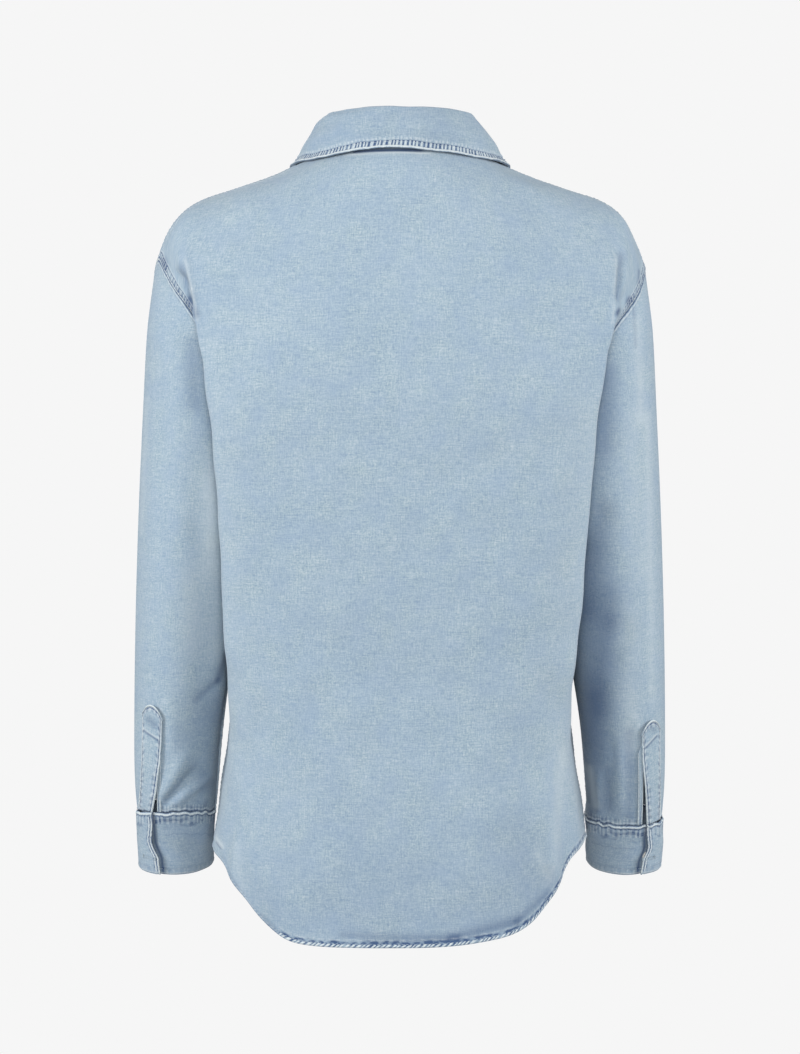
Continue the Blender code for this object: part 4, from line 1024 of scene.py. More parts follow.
class Cloth:
    """A grid of outer points (rows up, columns across), with normals that point out of the garment.

    across and up are the cloth's own flat coordinates. One field whitens the cloth at a point, for wear and
    as painted light; deep darkens it, for stains, darker pieces and painted shade. A hole says which of the
    grid's faces are left out."""

    def __init__(self, name, points, wall=WALL, centre=None, middle=0):
        self.name, self.points, self.wall = name, points, wall
        self.hole = None
        away = points - (points * UPRIGHT if centre is None else centre)
        self.side = 1 if (away * self.grid_normals()).sum() > 0 else -1
        self.up, across = run(points, 0), run(points, 1)
        self.across = across - across[:, middle : middle + 1]
        self.fade = np.zeros(points.shape[:2])
        self.deep = np.zeros(points.shape[:2])
        self.seams = []

    def grid_normals(self):
        return unit(np.cross(np.gradient(self.points, axis=1), np.gradient(self.points, axis=0)))

    def normals(self):
        return self.side * self.grid_normals()

    def lift(self, amount):
        """Moves the points out of the garment."""
        self.points = self.points + self.normals() * amount[..., None]

    def soften(self, piece):
        """Makes the surface a little uneven."""
        self.lift(swell(self.points, *SWELLS[piece]))

    def from_edge(self, edge):
        """Each point's distance from one of the grid's edges: foot, top, first or last."""
        if edge in ("foot", "top"):
            length = run(self.points, 0)
            return length if edge == "foot" else length[-1:] - length
        length = run(self.points, 1)
        return length if edge == "first" else length[:, -1:] - length

    def from_sides(self):
        """Each point's distance from the nearer side edge."""
        return np.minimum(self.from_edge("first"), self.from_edge("last"))

    def along_edge(self, edge):
        """Each point's place along that edge, the same for the points across from it."""
        axis = 1 if edge in ("foot", "top") else 0
        row = -1 if edge in ("top", "last") else 0
        length = run(self.points.take([row], axis=1 - axis), axis)
        return np.broadcast_to(length, self.points.shape[:2])

    def line(self, edge, distance):
        """Points and normals of the line at that distance from an edge."""
        away = self.from_edge(edge)
        points, normals = self.points, self.normals()
        if edge in ("foot", "top"):
            away, points, normals = away.T, points.swapaxes(0, 1), normals.swapaxes(0, 1)
        if edge in ("top", "last"):
            away, points, normals = away[:, ::-1], points[:, ::-1], normals[:, ::-1]
        found = []
        for row, place, normal in zip(away, points, normals):
            k = int(np.clip(np.searchsorted(row, distance) - 1, 0, len(row) - 2))
            share = (distance - row[k]) / max(row[k + 1] - row[k], 1e-9)
            spot = place[k] + (place[k + 1] - place[k]) * share
            found.append(np.concatenate([spot, unit(normal[k] + normal[k + 1])]))
        found = np.array(found)
        return found[:, :3], found[:, 3:]


def nearest_seam(cloth, owner):
    """For each face: which seam is nearest, 0 for none, and its corners' places on that seam."""
    chosen = np.zeros(len(owner), int)
    place = np.tile([0.0, 1.0], (*owner.shape, 1))
    least = np.full(len(owner), SEAM_REACH)
    for k, (_, along, away, keep) in enumerate(cloth.seams):
        here = np.stack([along, away], axis=-1).reshape(-1, 2)[owner]
        distance = here[..., 1].mean(axis=1)
        nearer = (distance < least) & (keep.ravel()[owner].mean(axis=1) > 0.5)
        chosen[nearer], place[nearer], least[nearer] = k + 1, here[nearer], distance[nearer]
    return chosen, place


def wall_object(cloth, outside, inside, seam_looks):
    """The closed wall between a cloth's outer points and its inner points, less any hole."""
    outer = cloth.points
    rows, columns = outer.shape[:2]
    inner = outer - cloth.normals() * cloth.wall
    count = rows * columns
    kept = np.ones((rows + 1, columns + 1), bool)
    kept[0] = kept[-1] = False
    kept[:, 0] = kept[:, -1] = False
    if cloth.hole is not None:
        kept[1:-1, 1:-1] &= ~cloth.hole
    i, j = np.nonzero(kept[1:-1, 1:-1])
    at = i * columns + j
    square = np.stack([at, at + 1, at + columns + 1, at + columns], axis=1)
    faces = [square, square[:, ::-1] + count]
    inward = [np.zeros(len(square), bool), np.ones(len(square), bool)]
    corners = {"foot": (0, 1), "last": (1, 2), "top": (2, 3), "first": (3, 0)}
    offset = {"foot": (-1, 0), "last": (0, 1), "top": (1, 0), "first": (0, -1)}
    for edge, (a, b) in corners.items():
        open_side = ~kept[i + 1 + offset[edge][0], j + 1 + offset[edge][1]]
        first, second = square[open_side, a], square[open_side, b]
        faces.append(np.stack([second, first, first + count, second + count], axis=1))
        inward.append(np.zeros(len(first), bool))
    faces, inward = np.concatenate(faces), np.concatenate(inward)
    if cloth.side < 0:
        faces = faces[:, ::-1]
    seam, place = nearest_seam(cloth, faces % count)
    used, index = np.unique(faces, return_inverse=True)
    index = index.reshape(faces.shape)

    def both(values):
        return np.concatenate([values.reshape(count, -1)] * 2)[used]

    names = [finish for finish, *_ in cloth.seams]
    kinds = sorted(set(names))
    slot = np.array([0] + [2 + kinds.index(name) for name in names])
    materials = [outside, inside] + [seam_looks[kind] for kind in kinds]
    points = np.concatenate([outer.reshape(-1, 3), inner.reshape(-1, 3)])[used]
    made = mesh_object(cloth.name, points, index, materials, np.where(inward, 1, slot[seam]))
    flat = both(np.stack([cloth.across, cloth.up], axis=-1))[index]
    for name, corner in ((CLOTH_MAP, flat), (SEAM_MAP, place)):
        layer = made.data.uv_layers.new(name=name)
        layer.uv.foreach_set("vector", corner.astype(np.float32).ravel())
    for name in ("fade", "deep"):
        attribute = made.data.attributes.new(name, "FLOAT", "POINT")
        attribute.data.foreach_set("value", both(getattr(cloth, name))[:, 0].astype(np.float32))
    return made


def mesh_object(name, points, faces, materials, material_index=None, smooth_angle=50):
    """A smooth mesh whose faces all have the same number of corners."""
    mesh = bpy.data.meshes.new(name)
    count, corners = faces.shape
    mesh.vertices.add(len(points))
    mesh.vertices.foreach_set("co", np.asarray(points, np.float32).ravel())
    mesh.loops.add(count * corners)
    mesh.loops.foreach_set("vertex_index", faces.astype(np.int32).ravel())
    mesh.polygons.add(count)
    mesh.polygons.foreach_set("loop_start", np.arange(0, count * corners, corners, dtype=np.int32))
    for material in materials:
        mesh.materials.append(material)
    if material_index is not None:
        mesh.polygons.foreach_set("material_index", material_index.astype(np.int32))
    mesh.update(calc_edges=True)
    mesh.validate()
    mesh.shade_smooth()
    mesh.set_sharp_from_angle(angle=math.radians(smooth_angle))
    return linked(name, mesh)


def linked(name, data):
    """A new object in the scene."""
    made = bpy.data.objects.new(name, data)
    bpy.context.scene.collection.objects.link(made)
    return made


# The panels. Columns are given by v, which runs across half a panel: 0 at the centre line, 1 at the side.


def neck_turns(back):
    """Where columns meet the neck: knots of v, and degrees there from the panel's own centre."""
    if back:
        return [0.0, NECK_SHARE], [0.0, 90.0]
    edge = math.degrees(math.asin(BAND_HALF_WIDTH / NECK_HALF_WIDTH))
    first = float(u_at_x(np.array(BAND_HALF_WIDTH), np.array(-0.5), False))
    return [0.0, first, NECK_SHARE], [0.0, edge, 90.0]


def column_tops(v, back):
    """The (u, q) where each column ends, at the neck or the shoulder seam."""
    half = np.abs(v)
    turned = np.interp(half, *neck_turns(back))
    top_u, top_q = find(*neck_plan(turned if back else 180 - turned, 0.0), back)
    corner_u = find(*neck_plan(np.array([90.0]), 0.0), back)[0][0]
    shoulder_u = corner_u + (1 - corner_u) * (half - NECK_SHARE) / (1 - NECK_SHARE)
    at_shoulder = half > NECK_SHARE
    top_u = np.where(at_shoulder, shoulder_u, top_u) * np.where(v < 0, -1, 1)
    return top_u, np.where(at_shoulder, 1.0, top_q)


def panel_grid(name, v, upper):
    """A panel from the hem up, with its folds and creases but not yet its seams."""
    back = name == "back"
    top_u, top_q = column_tops(v, back)
    below = q_at_hem(v, back) * (1 - spread(BELOW_UNDERARM, True, False)[:, None])
    share = upper[1:, None]
    q = np.concatenate([below, top_q * share])
    up = np.concatenate([0 * below, share + 0 * top_q])
    u = v + (top_u - v) * up**2
    if not back:
        # The columns under the button band run straight up, and those beside them ease into the rest.
        edge = neck_turns(False)[0][1]
        straight = u_at_x(v / edge * BAND_HALF_WIDTH + 0 * q, q, False)
        beyond = rise(np.abs(v), edge, edge + 0.2)
        u = u + (straight - u) * (1 - beyond) * np.where(np.abs(v) > edge, 1 - up**6, 1)
    points = give_way(torso(u, q, back), u, q)
    if back:
        points = seam_moved(pushed(points, u), q)
    cloth = Cloth(name, points, middle=int(np.argmin(np.abs(v))))
    cloth.up = cloth.up - cloth.up[len(below) - 1]
    panel = "back" if back else "front"
    creases = crease_lift(panel, cloth)
    if back:
        # The armhole seams lie flat.
        creases = creases * np.where(q > 0, rise(cloth.from_sides(), 0.009, 0.017), 1)
    cloth.lift(fold_lift(panel, u, points[..., 2]) + creases)
    return cloth


def seam_moved(points, q):
    """The back with its armholes where they are sewn, a little off the oval."""
    length = run(points, 1)
    for side, edge, away in ((1, -1, length[:, -1:] - length), (-1, 0, length)):
        degrees = 180 * (1 - np.clip(q[:, edge], 0, 1))
        move = sleeve_ring(armhole_shift(side, degrees), degrees) * FLIP[side] - points[:, edge]
        felt = rise(away, ARMHOLE_REACH, 0) * (q[:, edge] > 0)[:, None]
        points = points + felt[..., None] * move[:, None]
    return points


def pushed(points, u):
    """The back with its folds beside the arms moved a little across."""
    moved = points.copy()
    for at_u, at_z, wide, high, out in zip(*PUSHES.values()):
        moved[..., 0] += out * bump_at(u, at_u, wide) * bump_at(points[..., 2], at_z, high)
    return moved


def beside_line(cloth, x0, z0, x1, z1):
    """Each point's place by a line seen from behind: its share along it, how far aside and how far past."""
    x, z = cloth.points[..., 0] / MM - x0, cloth.points[..., 2] / MM - z0
    run_x, run_z = x1 - x0, z1 - z0
    length = math.hypot(run_x, run_z)
    share = (x * run_x + z * run_z) / length**2
    past = length * np.maximum(np.maximum(-share, share - 1), 0)
    return share, (x * run_z - z * run_x) / length, past


def crease_lift(name, cloth):
    """How far the creases push a piece's points out: each is a ridge or a trough along a short line."""
    facing = cloth.normals()[..., 1]
    lift = np.zeros_like(facing)
    for *line, width, depth, behind in zip(*CREASES[name].values()):
        share, aside, _ = beside_line(cloth, *line)
        ends = rise(share, -0.105, 0.245) * rise(share, 1.105, 0.755)
        lift += MM * depth * ends * bump_at(aside, 0, width) * rise(behind * facing, 0, 1 / 3)
    return lift


def paint(cloth, name):
    """Stains, worn places, painted shade and painted highlights: darker above 0 and paler below it, along
    short lines.
    """
    facing = cloth.normals()[..., 1] * (-1 if name == "front" else 1)
    for *line, width, amount in zip(*STAINS_AND_PAINTED_LIGHT[name].values()):
        _, aside, past = beside_line(cloth, *line)
        mark = bump_at(np.hypot(aside, past), 0, width) * rise(facing, -0.25, 0.25)
        cloth.deep = cloth.deep + max(amount, 0) * mark
        cloth.fade = cloth.fade + max(-amount, 0) * mark


def finish_edge(cloth, edge, finish, seed, keep=1.0):
    """Gives an edge its turned-in rim, ridge, stitched groove and puckers. keep is 0 where it has none."""
    f = FINISHES[finish]
    away, along = cloth.from_edge(edge), cloth.along_edge(edge)
    slanted = along + away * f["slant"]
    phase = 2 * np.pi * slanted / f["step"] + 2.2 * wander(along, 3 * f["step"], seed)
    uneven = 0.6 + 0.4 * wander(along, 2.3 * f["step"], seed + 1)
    window = rise(away, 0, RIM) * rise(away, f["reach"] + 0.004, f["reach"])
    ridge = bump_at(away, f["ridge_at"], f["ridge_wide"])
    groove = bump_at(away, f["groove_at"], f["groove_wide"])
    raised = f["height"] * rise(away, f["band"] + RIM, f["band"])
    turned = -f["turn"] * rise(away, RIM, 0)
    pucker = np.sin(phase) * uneven * window
    lift = raised + turned + f["ridge"] * ridge - f["groove"] * groove + f["pucker"] * pucker
    cloth.lift(lift * keep)
    if finish in SEAMS:
        cloth.seams.append((finish, along, away, keep + 0 * away))


def by_armhole(cloth):
    """1 beside the armholes and 0 down the side seams."""
    return rise(cloth.points[..., 2], UNDERARM_Z - 0.016, UNDERARM_Z + 0.004)


def back_panel():
    stops = (0, HALF_PANEL - FOLD_ZONE, HALF_PANEL - FINE_ZONE, HALF_PANEL)
    zones = [np.linspace(*zone) for zone in zip(stops, stops[1:], BACK_COLUMNS)]
    v = np.unique(np.concatenate(zones)) / HALF_PANEL
    v = np.concatenate([-v[:0:-1], v])
    cloth = panel_grid("back", v, spread(ABOVE_UNDERARM, False, True))
    cloth.soften("panel")
    paint(cloth, "back")
    # Painted light where the back turns to the side, against the shade of the turn.
    painted_turn_light = bump_at(cloth.normals()[..., 1], 0.10, 0.22) * rise(cloth.points[..., 2], -0.14, -0.19)
    cloth.fade = cloth.fade + TURN_PAINTED_LIGHT * painted_turn_light
    armholes = by_armhole(cloth)
    for seed, edge in ((11, "first"), (17, "last")):
        finish_edge(cloth, edge, "armhole", seed, keep=armholes)
        finish_edge(cloth, edge, "side", seed + 3, keep=1 - armholes)
    worn = rise(cloth.points[..., 0], HEM_ROPED_TO, HEM_ROPED_TO - 0.004)
    finish_edge(cloth, "foot", "hem", 23, keep=worn)
    finish_edge(cloth, "foot", "hem_side", 25, keep=1 - worn)
    inside = rise(cloth.from_sides(), 0.004, 0.014)
    past_neck = rise(np.abs(cloth.points[..., 0]), 0.07, 0.08)
    finish_edge(cloth, "top", "shoulder", 29, keep=past_neck * inside)
    return cloth


def front_panels():
    """The two fronts. They meet under the button band, a little to the wearer's right."""
    edge = neck_turns(False)[0][1]
    meeting = FRONTS_MEET_X / BAND_HALF_WIDTH * edge
    half = edge + (1 - edge) * spread(HALF_PANEL * (1 - edge), False, True)
    covered = round(2 * BAND_HALF_WIDTH / STEP)
    between = np.linspace(-edge, edge, covered + 1)
    upper = spread(ABOVE_UNDERARM, False, True)
    left = np.concatenate([[meeting], between[between > meeting + 0.005], half[1:]])
    right = np.concatenate([-half[:0:-1], between[between < meeting - 0.005], [meeting]])
    made = []
    for name, v, side_edge, seed in (("front_left", left, "last", 31), ("front_right", right, "first", 41)):
        cloth = panel_grid(name, v, upper)
        cloth.soften("panel")
        paint(cloth, "front")
        armholes = by_armhole(cloth)
        finish_edge(cloth, side_edge, "armhole", seed, keep=armholes)
        finish_edge(cloth, side_edge, "tucked", seed + 3, keep=1 - armholes)
        finish_edge(cloth, "foot", "hem", seed + 5)
        made.append(cloth)
    return made


def button_band():
    """The band that carries the buttonholes lies on both fronts."""
    edge = neck_turns(False)[0][1]
    v = edge * (2 * spread(2 * BAND_HALF_WIDTH, True, True, STRIP_STEP) - 1)
    cloth = panel_grid("button_band", v, BAND_TOP_AT * spread(ABOVE_UNDERARM, False, True))
    cloth.lift(swell(cloth.points, *SWELLS["panel"]) + WALL + GAP)
    for seed, side_edge in ((51, "first"), (57, "last")):
        finish_edge(cloth, side_edge, "placket", seed)
    finish_edge(cloth, "foot", "hem", 61)
    return cloth


# The sleeves.


def sleeve(side, name):
    """A sleeve, from its underarm seam round to it again, with the slit at the wrist."""
    along = spread(SLEEVE_LENGTH, True, True)
    opening = int(np.argmin(np.abs(along - SLIT["along"][0])))
    along[opening] = SLIT["along"][0]
    turned = np.linspace(-180, 180, SLEEVE_COLUMNS + 1)
    column = int(np.searchsorted(turned, SLIT_COLUMN_AT))
    share = rise(along, 0.4, 0.75)
    degrees = np.empty((len(along), len(turned)))
    for row, (first, last) in enumerate(zip(*slit_edges(along))):
        at = turned[column : column + 2]
        moved = at + (np.array([first, last]) - at) * share[row]
        start, end = SLIT_FELT
        degrees[row] = np.interp(turned, [-180, start, *at, end, 180], [-180, start, *moved, end, 180])
    along = along[:, None]
    place = along + (seam_along(side, degrees) - 1) * rise(along, 0.75, 1)
    place = place + armhole_shift(side, degrees) * rise(along, 0.35, 0)
    points = sleeve_ring(place, degrees) * FLIP[side]
    cloth = Cloth(name, points, centre=points.mean(axis=1, keepdims=True), middle=column)
    cloth.up = cloth.up - cloth.up[-1:]
    cloth.hole = np.zeros((len(along) - 1, len(turned) - 1), bool)
    cloth.hole[opening:, column] = True
    slimmer = SLEEVE_SLIMMER[side] * rise(np.cos(np.radians(degrees)), -0.2, -0.8)
    slimmer = slimmer * rise(along, 0.55, 0.8) * rise(along, 0.998, 0.948)
    cloth.lift(crease_lift(name, cloth) + sleeve_drape(side, along, degrees) - slimmer)
    paint(cloth, name)
    for edge, finish, seed in SLEEVE_EDGES:
        finish_edge(cloth, edge, finish, seed + side)
    return cloth


def sleeve_drape(side, along, degrees):
    """Soft lengthwise waves in the sleeve, weaker at the armhole and at the wrist."""
    seed = 5 if side > 0 else 8
    wave = wander(degrees + 14 * wander(along, 0.5, seed + 1), 34, seed) * rise(along, 0, 0.25)
    return SLEEVE_WAVE * wave * (1 - 0.5 * rise(along, 0.85, 1))


def seam_along(side, degrees):
    """How far down the sleeve its cuff is sewn on: a little higher behind."""
    higher = CUFF_SEAM_RISE[side] * (1 + np.maximum(np.sin(np.radians(degrees)), 0))
    return 1 - higher + CUFF_SEAM_WAVE * wander(np.mod(degrees, 360.0), 9.0, 3 + side)


def cuff(side, name):
    """A band round the wrist. Its over end stands off the under end."""
    down = 1 - spread(CUFF_DEPTH, True, True, ROW_STEP)[:, None]
    above, below = CUFF_EDGE_SEEN[side]
    over = above + (below - above) * rise(down, 0.4, 0.75)
    over = over + CUFF_WAVE * np.sin(2 * np.pi * (down * 1.1 + 0.1))
    under = over - CUFF_UNDERLAP
    turned = under + (360 + over - under) * spread(CUFF_LENGTH, True, True, CUFF_STEP)
    off = CUFF_LIFT_ABOVE + (CUFF_LIFT_BELOW - CUFF_LIFT_ABOVE) * rise(down, 0, 0.5)
    lift = off * rise(turned, CUFF_OFF_FROM, 357 - CUFF_UNDERLAP + over)
    above = (seam_along(side, turned) - 1) / (CUFF_FOOT - 1)
    points = wrist(side, turned, above + (1 - above) * down, CUFF_PROUD + lift)
    cloth = Cloth(name, points, wall=DOUBLE_WALL, centre=points.mean(axis=1, keepdims=True))
    cloth.soften("cuff")
    cloth.deep = cloth.deep + CUFF_DEEP * (1 - 0.4 * rise(turned, CUFF_OFF_FROM, CUFF_OFF_FROM + 30))
    # Painted shadow on the under end beside the over end's edge.
    cloth.deep = cloth.deep + CUFF_GAP_SHADOW * bump_at(cloth.from_edge("first"), CUFF_GAP_AT, CUFF_GAP_WIDTH)
    for edge, finish, seed in CUFF_EDGES:
        finish_edge(cloth, edge, finish, seed + side)
    return cloth


def sleeve_patch(name, side, tops, edges, finish, wall, raised):
    """A strip that lies on the sleeve down to the cuff: a top height for each column, and its two edges."""
    along = np.linspace(STRIP_FROM, 1, 60)
    heights = sleeve_ring(along, np.full_like(along, STRIP_TURN))[:, 2]
    rows = spread(GAUNTLET_LENGTH, False, True, FINE_STEP)
    highest = np.interp(-tops, -heights, along)
    lowest = seam_along(side, STRIP_FOOT_TURN) + PATCH_FOOT - 1
    place = lowest + (highest - lowest) * rows[:, None]
    first, last = edges(place)
    across = np.linspace(0, 1, len(tops))
    turned = first + (last - first) * across
    points = sleeve_ring(place, turned)
    nudge = 1e-3
    up = sleeve_ring(place - nudge, turned) - sleeve_ring(place + nudge, turned)
    around = sleeve_ring(place, turned + 0.5) - sleeve_ring(place, turned - 0.5)
    normal = unit(np.cross(around, up))
    height = wall + GAP + raised * rise(across, *STRIP_RISE)[:, None]
    outer, centre = (points + normal * height) * FLIP[side], (points - normal) * FLIP[side]
    cloth = Cloth(name, outer, wall=wall, centre=centre)
    for seed, edge in ((107, "first"), (109, "last"), (113, "top")):
        if edge != "top" or finish == "gauntlet":
            finish_edge(cloth, edge, finish, seed + side)
    return cloth


def gauntlet(side, name):
    """The slit's upper placket, with a rounded top."""
    across = np.linspace(-GAUNTLET_ROUND, GAUNTLET_ROUND, GAUNTLET_COLUMNS)
    tops = GAUNTLET_TOP_Z[side] - GAUNTLET_POINT * (1 - np.sqrt(1 - across**2))

    def edges(along):
        down = np.clip((along - 0.8) / 0.2, 0, 1)
        last = slit_edges(along)[0] + np.interp(down, [0.0, 0.5, 1.0], GAUNTLET_OVER[side])
        return last - GAUNTLET_WIDTH, last

    cloth = sleeve_patch(name, side, tops, edges, "gauntlet", WALL, GAUNTLET_RAISED)
    paint(cloth, name)
    return cloth


def binding(side, name):
    """The narrow strip that binds the slit's under edge."""

    def edges(along):
        first = slit_edges(along)[1]
        return first, first + BINDING_SEEN[side]

    tops = BINDING_TOP_Z - BINDING_SLANT * np.linspace(0, 1, BINDING_COLUMNS)
    return sleeve_patch(name, side, tops, edges, "binding", BINDING_WALL, 0.0)


# The collar.


def dome():
    """The torso's surface with the neck not yet cut, for the collar to lie on."""
    corners, faces = [], []
    for back in (True, False):
        q, u = np.meshgrid(np.linspace(0, 1, 97), np.linspace(-1, 1, 161), indexing="ij")
        faces += grid_faces(q.shape, len(corners), flip=back)
        corners += [tuple(point) for point in torso(u, q, back).reshape(-1, 3)]
    return BVHTree.FromPolygons(corners, faces)


def clear_of(tree, points, settled):
    """The points, moved out to stand clear of the torso, and down onto it as far as they have settled."""
    moved = points.copy()
    for k, point in enumerate(points):
        near, normal = tree.find_nearest(point)[:2]
        lifted = LEAF_GAP * float(bump_at(point[0], LEAF_GAP_AT, LEAF_GAP_WIDTH))
        short = LEAF_SETTLED + lifted - (Vector(point) - near).dot(normal)
        moved[k] += np.array(normal) * (max(short, 0) + min(short, 0) * settled)
    return moved


def stand_top(degrees):
    """The height of the stand's top edge, which passes the shoulder seam without its corner."""
    forward = (1 - np.cos(np.radians(degrees))) / 2
    seam = sum(neck_height(degrees + aside) for aside in (-24, -12, 0, 12, 24)) / 5
    return seam + read(STAND_HEIGHT, "forward", "rise", forward)[..., 0]


def neck_height(degrees):
    """The height of the neck seam, from the centre back round."""
    x, y = neck_plan(degrees, 0.0)
    behind = np.cos(np.radians(degrees)) > 0
    heights = [torso(*find(x, y, back), back)[..., 2] for back in (True, False)]
    return np.where(behind, *heights)


def stand_points(degrees, up):
    """The stand's outer face: degrees round the neck from the centre back, and up it from 0 to 1."""
    lift = STAND_LIFT * rise(degrees, -140, -162)
    x, y = neck_plan(degrees, STAND_INSET + STAND_LEAN * up - lift)
    foot = neck_height(degrees) + STAND_FOOT
    return np.stack([x, y, foot + (stand_top(degrees) - foot) * up], -1)


def collar_stand():
    """A band round the neck; the end on the wearer's right lies over the other one."""
    reach = math.degrees(STAND_OVERLAP / NECK_FRONT)
    degrees = -180 - reach + (360 + 1.6 * reach) * spread(STAND_LENGTH, True, True, STRIP_STEP)
    up = spread(STAND_HEIGHT["rise"][0], True, True, ROW_STEP)[:, None] + 0 * degrees
    points = stand_points(degrees + 0 * up, up)
    cloth = Cloth("collar_stand", points, wall=DOUBLE_WALL, middle=len(degrees) // 2)
    for edge, seed in (("foot", 121), ("first", 123), ("last", 123)):
        finish_edge(cloth, edge, "stand", seed)
    return cloth


def leaf_edge(turn):
    """The leaf's outer edge: turn runs from -1 to 1 between the collar points."""
    knots = np.concatenate([-LEAF_EDGE["turn"][:0:-1], LEAF_EDGE["turn"]])
    half = np.stack([LEAF_EDGE[name] for name in "xyz"], axis=-1)
    return spline_weights(knots, turn) @ np.concatenate([half[:0:-1] * FLIP[-1], half])


def collar_leaf(tree):
    """The collar's fall: up from the stand, over a tight roll and down to its edge."""
    degrees = LEAF_END * (2 * spread(LEAF_LENGTH, True, True, STRIP_STEP) - 1)
    top = stand_top(degrees)
    in_x, in_y = neck_plan(degrees, STAND_INSET + STAND_LEAN + DOUBLE_WALL)
    foot = np.stack([in_x, in_y, top + LEAF_ABOVE], -1)
    angle = np.radians(degrees)
    outward = np.stack([np.sin(angle), np.cos(angle), 0 * angle], -1)
    centre = foot + outward * LEAF_ROLL + UPRIGHT * LEAF_ROLL_UP
    rows = [foot]
    for roll in np.radians(np.linspace(180, 20, 15)):
        rows.append(centre + LEAF_ROLL * (outward * np.cos(roll) + UPRIGHT * np.sin(roll)))
    start, end = rows[-1], leaf_edge(degrees / LEAF_END)
    control = (start + end) / 2 + LEAF_BOW * (outward + UPRIGHT)
    fuller = (outward + UPRIGHT) * LEAF_FULLER * np.maximum(np.sin(angle), 0)[:, None] ** 3
    for share in spread(LEAF_FALL, False, True, LEAF_STEP)[1:]:
        point = (1 - share) ** 2 * start + 2 * share * (1 - share) * control + share**2 * end
        high_up = 26 * share * (1 - share) ** 9  # 1 a tenth of the way down, and soon 0 below
        point = point + fuller * high_up
        rows.append(clear_of(tree, point, LEAF_SETTLES * rise(share, 0.55, 0.95)))
    cloth = Cloth("collar_leaf", np.stack(rows), wall=LEAF_WALL, middle=len(degrees) // 2)
    cloth.deep = cloth.deep + LEAF_DEEP
    cloth.soften("leaf")
    for edge, seed in (("top", 131), ("first", 137), ("last", 137)):
        finish_edge(cloth, edge, "collar", seed)
    return cloth


# Sewing.


def resampled(points, normals, step):
    """Places along a line, one for each step of its length: points, directions and normals."""
    length = np.concatenate([[0], np.cumsum(np.linalg.norm(np.diff(points, axis=0), axis=1))])
    places = np.arange(step / 2, length[-1], step)

    def at(values, where):
        return np.stack([np.interp(where, length, values[:, k]) for k in range(3)], axis=-1)

    ahead = unit(at(points, places + step / 4) - at(points, places - step / 4))
    return at(points, places), ahead, unit(at(normals, places))


def stitches_object(name, lines, material):
    """All the stitches along these lines, as small threads that dip into the cloth at both ends."""
    rows = [resampled(points, normals, STITCH_STEP) for points, normals in lines if len(points) > 2]
    centre, ahead, normal = [np.concatenate(parts) for parts in zip(*rows)]
    aside = np.cross(normal, ahead)
    random = np.random.default_rng(len(centre))
    ahead = unit(ahead + aside * random.normal(0, 0.06, (len(centre), 1)))
    turn = round_turn(STITCH_SIDES)
    points = []
    for along, radius, height in STITCH_RINGS:
        middle = centre + ahead * STITCH_LENGTH * along + normal * STITCH_RADIUS * height
        if radius == 0:
            points.append(middle[:, None])
            continue
        around = aside[:, None] * np.cos(turn)[:, None] + normal[:, None] * np.sin(turn)[:, None]
        points.append(middle[:, None] + around * STITCH_RADIUS * radius)
    points = np.concatenate(points, axis=1)
    faces = []
    for k in range(STITCH_SIDES):
        after = (k + 1) % STITCH_SIDES
        faces.append([0, 1 + k, 1 + after])
        for ring in (0, 1):
            a, b = 1 + ring * STITCH_SIDES + k, 1 + ring * STITCH_SIDES + after
            faces += [[a, a + STITCH_SIDES, b + STITCH_SIDES], [a, b + STITCH_SIDES, b]]
        last = 1 + 2 * STITCH_SIDES
        faces.append([last + STITCH_SIDES, last + after, last + k])
    faces = np.array(faces)[None] + np.arange(len(centre))[:, None, None] * points.shape[1]
    return mesh_object(name, points.reshape(-1, 3), faces.reshape(-1, 3), [material])


def whole(points):
    """All of a row of stitches. Each of these says which of a row's points are sewn."""
    return np.ones(len(points), bool)


def above_underarm(points):
    return points[:, 2] > UNDERARM_Z


def past_neck_left(points):
    return points[:, 0] > PAST_NECK


def past_neck_right(points):
    return points[:, 0] < -PAST_NECK


def kept_stretch(line, keep=whole):
    """The part of a line for which keep is true, which is one stretch."""
    points, normals = line
    mask = keep(points)
    return points[mask], normals[mask]


SEWING = {
    "back": [
        ("first", FELLED),
        ("last", FELLED),
        ("foot", HEMMED),
        ("top", FELLED, past_neck_left),
        ("top", FELLED, past_neck_right),
    ],
    "front_left": [("last", FELLED, above_underarm), ("foot", HEMMED)],
    "front_right": [("first", FELLED, above_underarm), ("foot", HEMMED)],
    "button_band": [("first", TOPSTITCHED), ("last", TOPSTITCHED)],
    "collar_stand": [("foot", STAND_STITCHED)],
    "collar_leaf": [(edge, LEAF_STITCHED) for edge in ("top", "first", "last")],
}
for word in ("left", "right"):
    SEWING[f"sleeve_{word}"] = [("first", FELLED)]
    SEWING[f"cuff_{word}"] = [(edge, CUFF_STITCHED) for edge in ("top", "first", "last")]
    SEWING[f"cuff_{word}"] += [("foot", CUFF_FOOT_STITCHED)]
    SEWING[f"gauntlet_{word}"] = [(edge, TOPSTITCHED) for edge in ("top", "first", "last")]
    SEWING[f"binding_{word}"] = [("last", BOUND)]


def sew(cloths, material):
    """The stitches of each piece of cloth, as one object for each."""
    made = []
    for cloth in cloths:
        rows = SEWING[cloth.name]
        lines = [kept_stretch(cloth.line(edge, far), *keep) for edge, places, *keep in rows for far in places]
        made.append(stitches_object(f"stitches_{cloth.name}", lines, material))
    return made


# Buttons.


def tube(path, up, radius, closed=False):
    """A round thread along a path: points and faces. up is any direction that the path doesn't take."""
    after, before = np.roll(path, -1, axis=0), np.roll(path, 1, axis=0)
    if not closed:
        after[-1], before[0] = path[-1], path[0]
    ahead = unit(after - before)
    aside = unit(np.cross(up, ahead))
    upward = np.cross(ahead, aside)
    turn = round_turn(TUBE_SIDES)
    round_it = aside[:, None] * np.cos(turn)[:, None] + upward[:, None] * np.sin(turn)[:, None]
    points = path[:, None] + radius * round_it
    faces = ring_faces(len(path), TUBE_SIDES, closed)
    return points.reshape(-1, 3), np.roll(faces, -1, axis=1)


